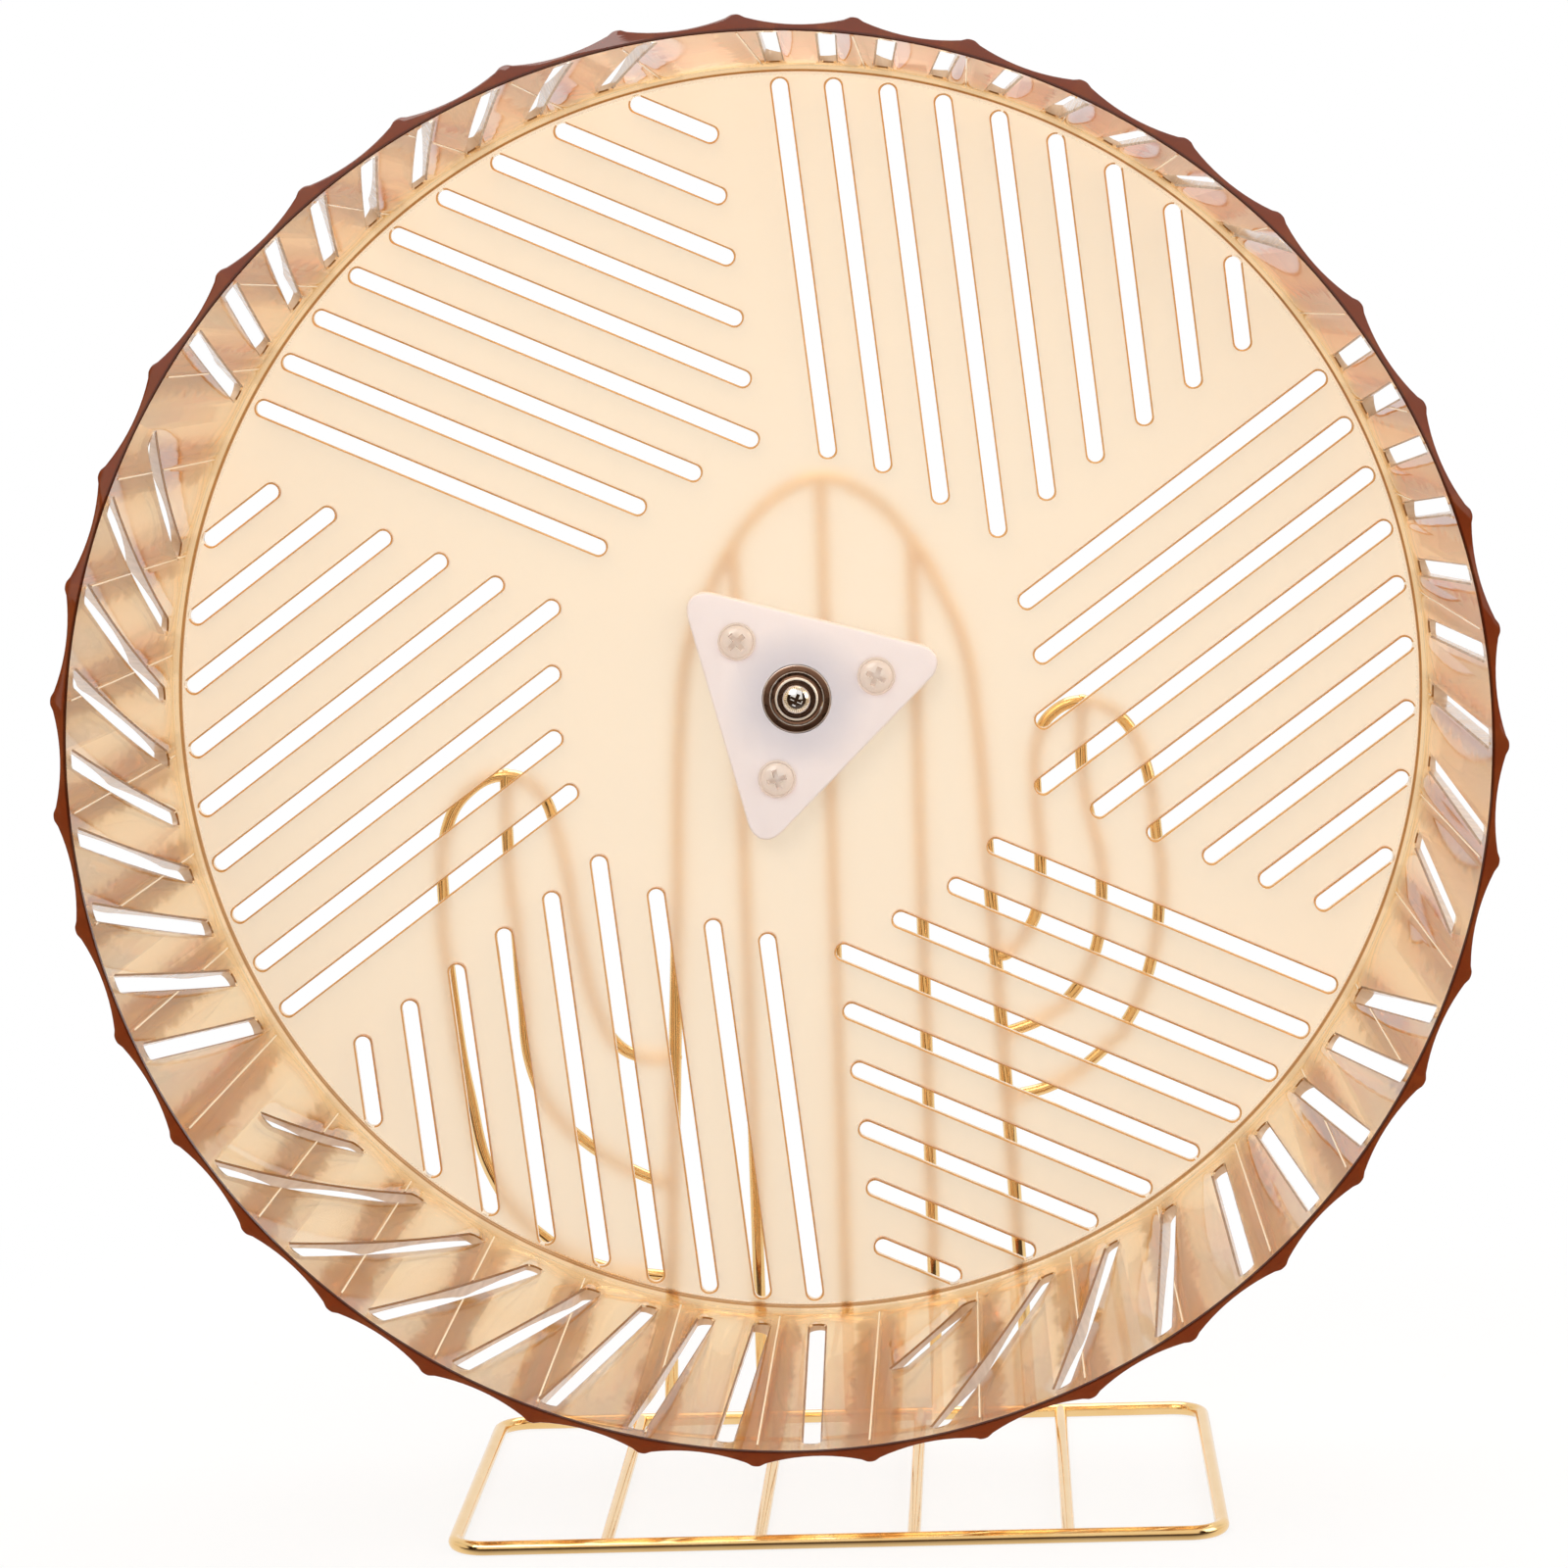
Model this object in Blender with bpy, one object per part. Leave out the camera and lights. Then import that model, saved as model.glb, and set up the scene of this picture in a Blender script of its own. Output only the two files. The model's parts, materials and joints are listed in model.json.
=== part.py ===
"""Hamster running wheel on a wire stand bent like a cactus.

Metres, +Z up. The wheel turns about a line along Y, its open side faces -Y,
and the stand's floor is z = 0. The origin is the middle of the footprint of
the whole object. Every driving size is named below.
"""
import math
from math import asin, ceil, cos, pi, radians, sin, sqrt, tan

import bmesh
import bpy
from mathutils import Matrix, Vector

# Clearances
FIT_GAP = 0.0001            # between pieces that sit tight in or on each other
WELD_GAP = 0.0003           # between wires that meet at a weld
RACE_GAP = 0.0001           # between a ball and its race
OVERRUN = 0.001             # how far a cutter runs past the wall that it cuts
MERGE_DISTANCE = 1e-7       # points closer than this are one point

# Drum: one moulding, disc at the back and running wall round it
DRUM_DEPTH = 0.1000         # front of the disc to the front lip
BACK_RADIUS = 0.1190        # inside of the wall at the disc
LIP_RADIUS = 0.1211         # inside of the wall at the lip
DISC_THICKNESS = 0.0020
THIN_WALL = 0.0011          # wall in the middle of a flute
CREST_WALL = 0.0029         # wall at a crest between flutes
CORNER_RADIUS = 0.0022      # fillet between disc and wall
EDGE_CHAMFER = 0.0010       # outer back edge
FLUTE_COUNT = 39
CREST_ANGLE = radians(8.1)  # first crest, anticlockwise from +X seen from the front
FLUTE_STEP_SHARES = (0.0, 0.3, 0.7)

# Slots in the disc: six groups of parallel slots
GROUP_COUNT = 6
GROUP_ANGLE = radians(95.66)    # direction of the first group's slots
SLOT_WIDTH = 0.0030
SLOT_PITCH = 0.0100
FIRST_SLOT_OFFSET = 0.01185     # first slot from the line through the centre
SLOT_END_GAP = 0.0024           # from the slots' outer ends to the wall
GROUP_SHARE = 0.9               # of a sixth of the disc that one group may fill
SLOT_INNER_RADIUS = 0.0459      # circle that the first inner ends touch
VALLEY_DEPTH = 0.0254           # inner end of the slot at the valley
VALLEY_SLOT = 3                 # index of that slot
VALLEY_SLOPE = tan(radians(30))
SLOT_END_STEPS = 4

# Slots in the wall: one for each disc slot, leaning round the drum
RIM_SLOT_BACK = 0.0100          # from the disc to the slot
RIM_SLOT_FRONT = 0.0045         # from the lip to the slot
# Lean in degrees from disc to lip: first, middle and last slot of each group
RIM_LEANS = ((-1.3, -1.6, -3.5), (-7.6, -8.0, -8.4), (-6.3, -11.8, -17.2),
             (1.0, -9.7, -22.0), (6.5, -0.2, -17.5), (3.0, 2.3, -4.0))
RIM_LAST_SLOT_SHARES = (1.0, 1.0, 0.83, 0.46, 0.46, 0.86)
RIM_CIRCLE_SHARE = 1.0176       # circle where a disc slot's line meets its wall slot

# Ball bearing 4 x 13 x 5
BEARING_OUTER = 0.0065          # radius
BEARING_BORE = 0.0020           # radius
BEARING_WIDTH = 0.0050
BALL_RADIUS = 0.0010
BALL_COUNT = 7
LAND_STEP = 0.00075             # from the balls' circle to a ring beside its groove
SHIELD_THICKNESS = 0.00025
SHIELD_RECESS = 0.00030
CAGE_THICKNESS = 0.00080
CAGE_SIDE_GAP = 0.00045         # from the cage to a shield
POCKET_GAP = 0.00012
BEARING_CHAMFER = 0.00025

# Hub plate, its screws and their posts behind the disc
PLATE_INRADIUS = 0.0156
PLATE_CORNER = 0.0040
PLATE_THICKNESS = 0.0030
PLATE_ROUNDING = 0.0004
SCREW_COUNT = 3
SCREW_CIRCLE = 0.0157
SCREW_ANGLE = radians(14.4)
SCREW_SHANK = 0.0014
SCREW_HEAD_RADIUS = 0.0036
SCREW_HEAD_HEIGHT = 0.0018
HEAD_EDGE_SHARE = 0.25          # of a head's height that is upright at its edge
SCREW_LENGTH = 0.0085           # under the head
SCREW_TIP = 0.0010
RECESS_WIDTH = 0.0009
RECESS_SPAN = 0.0040
RECESS_DEPTH = 0.0009
RECESS_TURN = radians(25)       # from one screw to the next
POST_RADIUS = 0.0033
POST_LENGTH = 0.0050            # behind the disc
CUP_RADIUS = 0.0100
CUP_LENGTH = 0.0015             # behind the disc
CUP_HOLE = 0.0050

# Axle
SLEEVE_RADIUS = 0.0035
SLEEVE_LENGTH = 0.0080
AXLE_HEAD_RADIUS = 0.00275
AXLE_HEAD_HEIGHT = 0.0020
WASHER_RADIUS = 0.0041
WASHER_THICKNESS = 0.0005
SPACER_RADIUS = 0.0033
NUT_FLATS = 0.0070              # across flats
NUT_THICKNESS = 0.0032
AXLE_STICKOUT = 0.0012          # thread past the nut

# Stand
FRAME_WIRE = 0.0013             # radius of the base loop and the trunk arch
INNER_WIRE = 0.0012             # radius of the other wires
DRUM_LIFT = 0.0205              # from the drum's lowest crest to the base wire's middle
TRUNK_SETBACK = 0.0200          # front of the disc to the plane of the trunk
BASE_WIDTH = 0.1378             # between wire middles
BASE_LENGTH = 0.0930            # between wire middles
BASE_CORNER = 0.0060
CROSS_WIRE_COUNT = 4
TRUNK_RISE = 0.0405             # from the axle to the apex
TRUNK_FOOT = 0.0355             # half the width at the foot
TRUNK_WIRE_SPACING = 0.0172
LEFT_ARM_REACH = 0.0409         # beyond the trunk's foot
LEFT_ARM_TOP = 0.1290
RIGHT_ARM_REACH = 0.0278        # beyond the trunk's foot
RIGHT_ARM_TOP = 0.1402
FRAME_SIDES = 12
WIRE_SIDES = 8
PATH_STEP = 0.0015              # between points of a bent wire's middle line
TURN_LIMIT = radians(5.5)       # bend that earns a ring of its own
BEND_STEPS = 5

# Outline of one side of the trunk: shares of its half foot and of its height
TRUNK_SHARES = (
    (0.000, 1.000), (0.245, 0.982), (0.460, 0.940), (0.630, 0.883), (0.758, 0.820),
    (0.815, 0.735), (0.860, 0.560), (0.912, 0.370), (0.960, 0.180), (1.000, 0.000),
)
# Arms: shares of their reach beyond the foot and of their top, between their two welds
LEFT_ARM_SHARES = (
    (0.066, 0.563), (0.189, 0.583), (0.281, 0.638), (0.361, 0.755), (0.445, 0.915),
    (0.537, 0.980), (0.679, 1.000), (0.864, 0.976), (0.974, 0.918), (1.000, 0.800),
    (0.974, 0.661), (0.914, 0.513), (0.806, 0.377), (0.580, 0.288), (0.309, 0.241),
)
LEFT_MIDDLE_SHARES = (
    (0.679, 1.000), (0.681, 0.894), (0.658, 0.778), (0.639, 0.653), (0.610, 0.552),
    (0.518, 0.486), (0.372, 0.437), (0.163, 0.393),
)
RIGHT_ARM_SHARES = (
    (-0.070, 0.651), (0.050, 0.676), (0.144, 0.712), (0.176, 0.776), (0.158, 0.868),
    (0.180, 0.947), (0.283, 0.984), (0.499, 1.000), (0.750, 0.979), (0.909, 0.922),
    (0.986, 0.826), (1.000, 0.719), (0.929, 0.633), (0.786, 0.562), (0.540, 0.505),
    (0.228, 0.465),
)
RIGHT_MIDDLE_SHARES = (
    (0.499, 1.000), (0.481, 0.925), (0.515, 0.854), (0.588, 0.783), (0.595, 0.719),
    (0.538, 0.648), (0.397, 0.598), (0.194, 0.562),
)
LEFT_WELD_SHARES = (0.562, 0.222)       # upper and lower end of the loop
LEFT_MIDDLE_WELD_SHARE = 0.362
RIGHT_WELD_SHARES = (0.648, 0.448)
RIGHT_MIDDLE_WELD_SHARE = 0.537

# Sizes that follow
SLOT_OUTER_RADIUS = BACK_RADIUS - SLOT_END_GAP
LAST_SLOT_OFFSET = SLOT_OUTER_RADIUS * sin(GROUP_SHARE * 2 * pi / GROUP_COUNT)
GROUP_SLOTS = 1 + int((LAST_SLOT_OFFSET - FIRST_SLOT_OFFSET) / SLOT_PITCH)
PITCH_RADIUS = (BEARING_OUTER + BEARING_BORE) / 2
OUTER_LAND = PITCH_RADIUS + LAND_STEP       # bore of the outer ring beside its groove
INNER_LAND = PITCH_RADIUS - LAND_STEP       # inner ring beside its groove
CAGE_INNER = PITCH_RADIUS - CAGE_THICKNESS / 2
CAGE_OUTER = PITCH_RADIUS + CAGE_THICKNESS / 2
CAGE_WIDTH = BEARING_WIDTH - 2 * (SHIELD_RECESS + SHIELD_THICKNESS + CAGE_SIDE_GAP)
AXLE_RADIUS = BEARING_BORE - FIT_GAP
AXLE_HEIGHT = LIP_RADIUS + CREST_WALL + DRUM_LIFT
TRUNK_HEIGHT = AXLE_HEIGHT + TRUNK_RISE

# Places that follow, along Y from the front of the disc
PLATE_BACK = -WELD_GAP
PLATE_FRONT = PLATE_BACK - PLATE_THICKNESS
BEARING_FRONT = PLATE_FRONT
BEARING_BACK = BEARING_FRONT + BEARING_WIDTH
CUP_FLOOR = BEARING_BACK + WELD_GAP
WASHER_BACK = BEARING_FRONT - FIT_GAP
AXLE_HEAD_BACK = WASHER_BACK - WASHER_THICKNESS - FIT_GAP
SLEEVE_FRONT = TRUNK_SETBACK - SLEEVE_LENGTH / 2
SLEEVE_BACK = TRUNK_SETBACK + SLEEVE_LENGTH / 2
NUT_FRONT = SLEEVE_BACK + FIT_GAP
AXLE_END = NUT_FRONT + NUT_THICKNESS + AXLE_STICKOUT

# Places that follow, in the world
DISC_Y = (DRUM_DEPTH - AXLE_END) / 2
BASE_Z = FRAME_WIRE * cos(pi / FRAME_SIDES)
AXLE_Z = BASE_Z + AXLE_HEIGHT
STAND_X = SLEEVE_RADIUS + WELD_GAP + INNER_WIRE
TRUNK_Y = DISC_Y + TRUNK_SETBACK


def clear_scene():
    for old in list(bpy.data.objects):
        bpy.data.objects.remove(old, do_unlink=True)


def make_material(name, hex_colour, roughness, metallic, transmission=0.0):
    """A Principled material from an sRGB hex colour."""
    material = bpy.data.materials.new(name)
    material.use_nodes = True
    shader = material.node_tree.nodes["Principled BSDF"]
    channels = [int(hex_colour[i:i + 2], 16) / 255 for i in (0, 2, 4)]
    linear = [c / 12.92 if c <= 0.04045 else ((c + 0.055) / 1.055) ** 2.4 for c in channels]
    shader.inputs["Base Color"].default_value = (*linear, 1.0)
    shader.inputs["Roughness"].default_value = roughness
    shader.inputs["Metallic"].default_value = metallic
    shader.inputs["Transmission Weight"].default_value = transmission
    material.diffuse_color = (*linear, 1.0)
    return material


def add_object(name, mesh, material=None, parent=None):
    """Put a mesh into the scene under its node name."""
    obj = bpy.data.objects.new(name, mesh)
    bpy.context.collection.objects.link(obj)
    obj.parent = parent
    if material:
        mesh.materials.append(material)
    return obj


def add_empty(name, place):
    empty = bpy.data.objects.new(name, None)
    empty.location = place
    bpy.context.collection.objects.link(empty)
    return empty


def shade_round(mesh, angle=radians(40)):
    mesh.shade_smooth()
    mesh.set_sharp_from_angle(angle=angle)


def mesh_from(bm, name):
    """Close a bmesh into a mesh whose faces all point out."""
    bmesh.ops.recalc_face_normals(bm, faces=bm.faces)
    mesh = bpy.data.meshes.new(name)
    bm.to_mesh(mesh)
    bm.free()
    return mesh


def hide_cutter(obj):
    obj.hide_render = True
    obj.display_type = "WIRE"
    return obj


def add_boolean(target, cutter, operation="DIFFERENCE"):
    modifier = target.modifiers.new(cutter.name, "BOOLEAN")
    modifier.operation = operation
    modifier.solver = "EXACT"
    modifier.object = cutter


# Turned pieces, all about the Y axis

def turned_mesh(name, profile, segments, has_bore):
    """Turn a profile of (radius, y) points once round the Y axis."""
    bm = bmesh.new()
    verts = [bm.verts.new((radius, y, 0.0)) for radius, y in profile]
    edges = [bm.edges.new(pair) for pair in zip(verts, verts[1:])]
    if has_bore:
        edges.append(bm.edges.new((verts[-1], verts[0])))
    bmesh.ops.spin(bm, geom=verts + edges, cent=(0, 0, 0), axis=(0, 1, 0), angle=2 * pi,
                   steps=segments, use_merge=True)
    bmesh.ops.remove_doubles(bm, verts=bm.verts, dist=MERGE_DISTANCE)
    return mesh_from(bm, name)


def turned(name, profile, material, parent, segments=36, has_bore=True):
    mesh = turned_mesh(name, profile, segments, has_bore)
    shade_round(mesh)
    return add_object(name, mesh, material, parent)


def tube_profile(inner, outer, start, end):
    return [(inner, start), (outer, start), (outer, end), (inner, end)]


def turned_cutter(name, profile, parent, segments=36, has_bore=False):
    return hide_cutter(add_object(name, turned_mesh(name, profile, segments, has_bore), None, parent))


# Drum

def polar(radius, angle, y):
    """A point at an angle anticlockwise from +X, seen from the front."""
    return Vector((radius * cos(angle), y, radius * sin(angle)))


def inner_radius(y):
    """Inside of the wall, which opens a little towards the lip."""
    return BACK_RADIUS + (LIP_RADIUS - BACK_RADIUS) * max(-y, 0.0) / DRUM_DEPTH


def wall_thickness(share, base_radius):
    """Wall at a share of one flute: an arc hollowed between two crests."""
    crest = base_radius + CREST_WALL
    valley = base_radius + THIN_WALL
    half_angle = pi / FLUTE_COUNT
    half_chord = crest * sin(half_angle)
    hollow = crest * cos(half_angle) - valley
    arc = (half_chord ** 2 + hollow ** 2) / (2 * hollow)
    centre = valley + arc
    angle = (share - 0.5) * 2 * half_angle
    return centre * cos(angle) - sqrt(arc ** 2 - (centre * sin(angle)) ** 2) - base_radius


def drum_columns():
    """Angle and share of a flute for each column of points round the wall."""
    for flute in range(FLUTE_COUNT):
        for share in FLUTE_STEP_SHARES:
            yield CREST_ANGLE + (flute + share) * 2 * pi / FLUTE_COUNT, share


def drum_mesh():
    """The plain drum: fluted outside, smooth inside, closed by the disc."""
    bm = bmesh.new()
    columns = list(drum_columns())
    lip_y = -DRUM_DEPTH
    back_y = DISC_THICKNESS
    bend = CORNER_RADIUS * (1 - cos(pi / 4))

    def ring(radius_at, y):
        return [bm.verts.new(polar(radius_at(share), angle, y)) for angle, share in columns]

    def outside(y, inset=0.0):
        base = inner_radius(y)
        return lambda share: base + wall_thickness(share, base) - inset

    rings = [
        ring(outside(back_y, EDGE_CHAMFER), back_y),
        ring(outside(back_y), back_y - EDGE_CHAMFER),
        ring(outside(lip_y), lip_y),
        ring(lambda share: LIP_RADIUS, lip_y),
        ring(lambda share: inner_radius(-CORNER_RADIUS), -CORNER_RADIUS),
        ring(lambda share: BACK_RADIUS - bend, -bend),
        ring(lambda share: BACK_RADIUS - CORNER_RADIUS, 0.0),
    ]
    count = len(columns)
    for first, second in zip(rings, rings[1:]):
        for i in range(count):
            j = (i + 1) % count
            bm.faces.new((first[i], first[j], second[j], second[i]))
    bm.faces.new(rings[0])
    bm.faces.new(rings[-1])
    return mesh_from(bm, "wheel_drum")


def slot_outline(length, width):
    """Outline of a round-ended slot along its own X, centred."""
    radius = width / 2
    half = length / 2 - radius
    points = []
    for side in (1, -1):
        for step in range(SLOT_END_STEPS + 1):
            angle = -pi / 2 + pi * step / SLOT_END_STEPS
            points.append((side * (half + radius * cos(angle)), side * radius * sin(angle)))
    return points


def add_slot_prism(bm, place, length, depth_low, depth_high):
    """A slot-shaped prism; its local X runs along the slot, local Z through the wall."""
    outline = slot_outline(length, SLOT_WIDTH)
    low = [bm.verts.new(place @ Vector((x, y, depth_low))) for x, y in outline]
    high = [bm.verts.new(place @ Vector((x, y, depth_high))) for x, y in outline]
    bm.faces.new(low)
    bm.faces.new(high)
    count = len(outline)
    for i in range(count):
        j = (i + 1) % count
        bm.faces.new((low[i], low[j], high[j], high[i]))


def slot_offset(slot):
    return FIRST_SLOT_OFFSET + slot * SLOT_PITCH


def slot_reach(slot):
    """Distances of a disc slot's inner and outer end along its direction."""
    offset = slot_offset(slot)
    outer = sqrt(SLOT_OUTER_RADIUS ** 2 - offset ** 2)
    valley = VALLEY_DEPTH + abs(slot - VALLEY_SLOT) * SLOT_PITCH * VALLEY_SLOPE
    ring_share = SLOT_INNER_RADIUS ** 2 - offset ** 2
    circle = sqrt(ring_share) if ring_share > 0 else 0.0
    return max(valley, circle) if slot < VALLEY_SLOT else valley, outer


def frame_from(along, through, origin):
    """Matrix with local X along, local Z through."""
    z_axis = through.normalized()
    x_axis = (along - along.dot(z_axis) * z_axis).normalized()
    y_axis = z_axis.cross(x_axis)
    matrix = Matrix((x_axis, y_axis, z_axis)).transposed().to_4x4()
    matrix.translation = origin
    return matrix


def disc_slot_cutters():
    bm = bmesh.new()
    for group in range(GROUP_COUNT):
        direction = GROUP_ANGLE + group * 2 * pi / GROUP_COUNT
        along = polar(1, direction, 0)
        across = polar(1, direction - pi / 2, 0)
        for slot in range(GROUP_SLOTS):
            inner, outer = slot_reach(slot)
            middle = across * slot_offset(slot) + along * (inner + outer) / 2
            place = frame_from(along, Vector((0, 1, 0)), middle)
            add_slot_prism(bm, place, outer - inner, -OVERRUN, DISC_THICKNESS + OVERRUN)
    return mesh_from(bm, "disc_slot_cutters")


def rim_lean(group, slot):
    """How far a wall slot leans round the drum over the full depth, in radians."""
    share = slot / (GROUP_SLOTS - 1)
    first, middle, last = RIM_LEANS[group]
    lean = (first * (1 - share) * (1 - 2 * share) + middle * 4 * share * (1 - share)
            + last * share * (2 * share - 1))
    return radians(lean)


def rim_slot_cutters():
    bm = bmesh.new()
    full_length = DRUM_DEPTH - RIM_SLOT_BACK - RIM_SLOT_FRONT
    rim_circle = BACK_RADIUS * RIM_CIRCLE_SHARE
    for group in range(GROUP_COUNT):
        direction = GROUP_ANGLE + group * 2 * pi / GROUP_COUNT
        for slot in range(GROUP_SLOTS):
            is_last = slot == GROUP_SLOTS - 1
            share = RIM_LAST_SLOT_SHARES[group] if is_last else 1.0
            disc_angle = direction - asin(slot_offset(slot) / rim_circle)
            start_y = -RIM_SLOT_BACK
            end_y = start_y - full_length * share
            start_angle = disc_angle - rim_lean(group, slot) * start_y / DRUM_DEPTH
            end_angle = disc_angle - rim_lean(group, slot) * end_y / DRUM_DEPTH
            start = polar(inner_radius(start_y), start_angle, start_y)
            end = polar(inner_radius(end_y), end_angle, end_y)
            through = polar(1, (start_angle + end_angle) / 2, 0)
            place = frame_from(end - start, through, (start + end) / 2)
            widest = max(inner_radius(start_y), inner_radius(end_y))
            rise = widest - (start + end).xz.length / 2
            add_slot_prism(bm, place, (end - start).length, -OVERRUN - rise,
                           CREST_WALL + OVERRUN + rise)
    return mesh_from(bm, "rim_slot_cutters")


def screw_places():
    for number in range(SCREW_COUNT):
        yield polar(SCREW_CIRCLE, SCREW_ANGLE + number * 2 * pi / SCREW_COUNT, 0)


def joined_cylinders(name, radius, start, end, places, segments=20):
    """Solid rods along Y at several places, as one mesh."""
    bm = bmesh.new()
    for place in places:
        turn = Matrix.Rotation(pi / 2, 4, "X")
        middle = Matrix.Translation(place + Vector((0, (start + end) / 2, 0)))
        bmesh.ops.create_cone(bm, cap_ends=True, segments=segments, radius1=radius,
                              radius2=radius, depth=end - start, matrix=middle @ turn)
    return mesh_from(bm, name)


def build_drum(material, axis):
    """The moulded drum with its slots, bearing cup and screw posts."""
    drum = add_object("wheel_drum", drum_mesh(), material, axis)
    inside = DISC_THICKNESS / 2
    cup = turned_cutter("cup_blank", [(0, inside), (CUP_RADIUS, inside),
                                      (CUP_RADIUS, CUP_FLOOR + CUP_LENGTH),
                                      (0, CUP_FLOOR + CUP_LENGTH)], axis)
    posts = hide_cutter(add_object("post_blanks", joined_cylinders(
        "post_blanks", POST_RADIUS, inside, DISC_THICKNESS + POST_LENGTH, screw_places()),
        None, axis))
    seat = turned_cutter("bearing_seat", [(0, -OVERRUN),
                                          (BEARING_OUTER + FIT_GAP, -OVERRUN),
                                          (BEARING_OUTER + FIT_GAP, CUP_FLOOR),
                                          (CUP_HOLE, CUP_FLOOR),
                                          (CUP_HOLE, CUP_FLOOR + CUP_LENGTH + OVERRUN),
                                          (0, CUP_FLOOR + CUP_LENGTH + OVERRUN)], axis)
    pilots = hide_cutter(add_object("pilot_holes", joined_cylinders(
        "pilot_holes", SCREW_SHANK + FIT_GAP, -OVERRUN,
        DISC_THICKNESS + POST_LENGTH + OVERRUN, screw_places()), None, axis))
    disc_slots = hide_cutter(add_object("disc_slots", disc_slot_cutters(), None, axis))
    rim_slots = hide_cutter(add_object("rim_slots", rim_slot_cutters(), None, axis))
    add_boolean(drum, cup, "UNION")
    add_boolean(drum, posts, "UNION")
    for cutter in (seat, pilots, disc_slots, rim_slots):
        add_boolean(drum, cutter)
    return drum


# Hub

def build_hub_plate(material, axis):
    """Three-cornered plate that clamps the bearing to the disc."""
    bm = bmesh.new()
    outline = []
    corner_circle = 2 * (PLATE_INRADIUS - PLATE_CORNER)
    for number in range(SCREW_COUNT):
        corner = SCREW_ANGLE + number * 2 * pi / SCREW_COUNT
        centre = polar(corner_circle, corner, PLATE_FRONT)
        for step in range(BEND_STEPS + 2):
            angle = corner - pi / 3 + step * (2 * pi / 3) / (BEND_STEPS + 1)
            outline.append(bm.verts.new(centre + polar(PLATE_CORNER, angle, 0)))
    face = bm.faces.new(outline)
    sweep = bmesh.ops.extrude_face_region(bm, geom=[face])
    moved = [item for item in sweep["geom"] if isinstance(item, bmesh.types.BMVert)]
    bmesh.ops.translate(bm, verts=moved, vec=(0, PLATE_THICKNESS, 0))
    plate = add_object("hub_plate", mesh_from(bm, "hub_plate"), material, axis)
    bevel = plate.modifiers.new("rounding", "BEVEL")
    bevel.width = PLATE_ROUNDING
    bevel.segments = 1
    bevel.limit_method = "ANGLE"
    bevel.angle_limit = radians(60)
    low, high = PLATE_FRONT - OVERRUN, PLATE_BACK + OVERRUN
    seat_radius = BEARING_OUTER + FIT_GAP
    add_boolean(plate, turned_cutter("plate_seat", [(0, low), (seat_radius, low),
                                                    (seat_radius, high), (0, high)], axis))
    holes = joined_cylinders("plate_holes", SCREW_SHANK + FIT_GAP, low, high, screw_places())
    add_boolean(plate, hide_cutter(add_object("plate_holes", holes, None, axis)))
    return plate


def domed_head(radius, height, back):
    """Profile of a low dome from its middle out to its edge."""
    points = []
    for step in range(BEND_STEPS):
        angle = step * pi / 2 / (BEND_STEPS - 1)
        rise = HEAD_EDGE_SHARE + (1 - HEAD_EDGE_SHARE) * cos(angle)
        points.append((radius * sin(angle), back - height * rise))
    return points


def add_cross_recess(screw, head_front, turn):
    """Cut a cross into a screw's head, turned about the screw's own axis."""
    for bar in range(2):
        bm = bmesh.new()
        size = Matrix.Diagonal((RECESS_SPAN, 2 * RECESS_DEPTH, RECESS_WIDTH, 1))
        spin = Matrix.Rotation(bar * pi / 2 + turn, 4, "Y")
        place = Matrix.Translation((0, head_front, 0))
        bmesh.ops.create_cube(bm, size=1, matrix=place @ spin @ size)
        name = f"{screw.name}_recess_{bar + 1}"
        add_boolean(screw, hide_cutter(add_object(name, mesh_from(bm, name), None, screw)))


def build_hub_screws(material, axis):
    """Round-headed plastic screws with a cross recess."""
    head_back = PLATE_FRONT - FIT_GAP
    head_front = head_back - SCREW_HEAD_HEIGHT
    shank_end = head_back + SCREW_LENGTH
    profile = domed_head(SCREW_HEAD_RADIUS, SCREW_HEAD_HEIGHT, head_back)
    profile += [(SCREW_HEAD_RADIUS, head_back), (SCREW_SHANK, head_back),
                (SCREW_SHANK, shank_end - SCREW_TIP), (SCREW_SHANK / 2, shank_end),
                (0, shank_end)]
    for number, place in enumerate(screw_places(), 1):
        screw = turned(f"hub_screw_{number}", profile, material, axis, 16, has_bore=False)
        screw.location = place
        add_cross_recess(screw, head_front, number * RECESS_TURN)


# Bearing

def groove_points(sign, land):
    """Race groove: an arc round the ball, between the lands. sign +1 is the outer ring."""
    radius = BALL_RADIUS + RACE_GAP
    half = asin(min(1.0, sqrt(radius ** 2 - (abs(land - PITCH_RADIUS)) ** 2) / radius))
    middle = (BEARING_FRONT + BEARING_BACK) / 2
    points = []
    steps = BEND_STEPS - 2
    for step in range(steps + 1):
        angle = half * (1 - 2 * step / steps)
        points.append((PITCH_RADIUS + sign * radius * cos(angle) / cos(half / steps),
                       middle + radius * sin(angle)))
    return points


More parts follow.
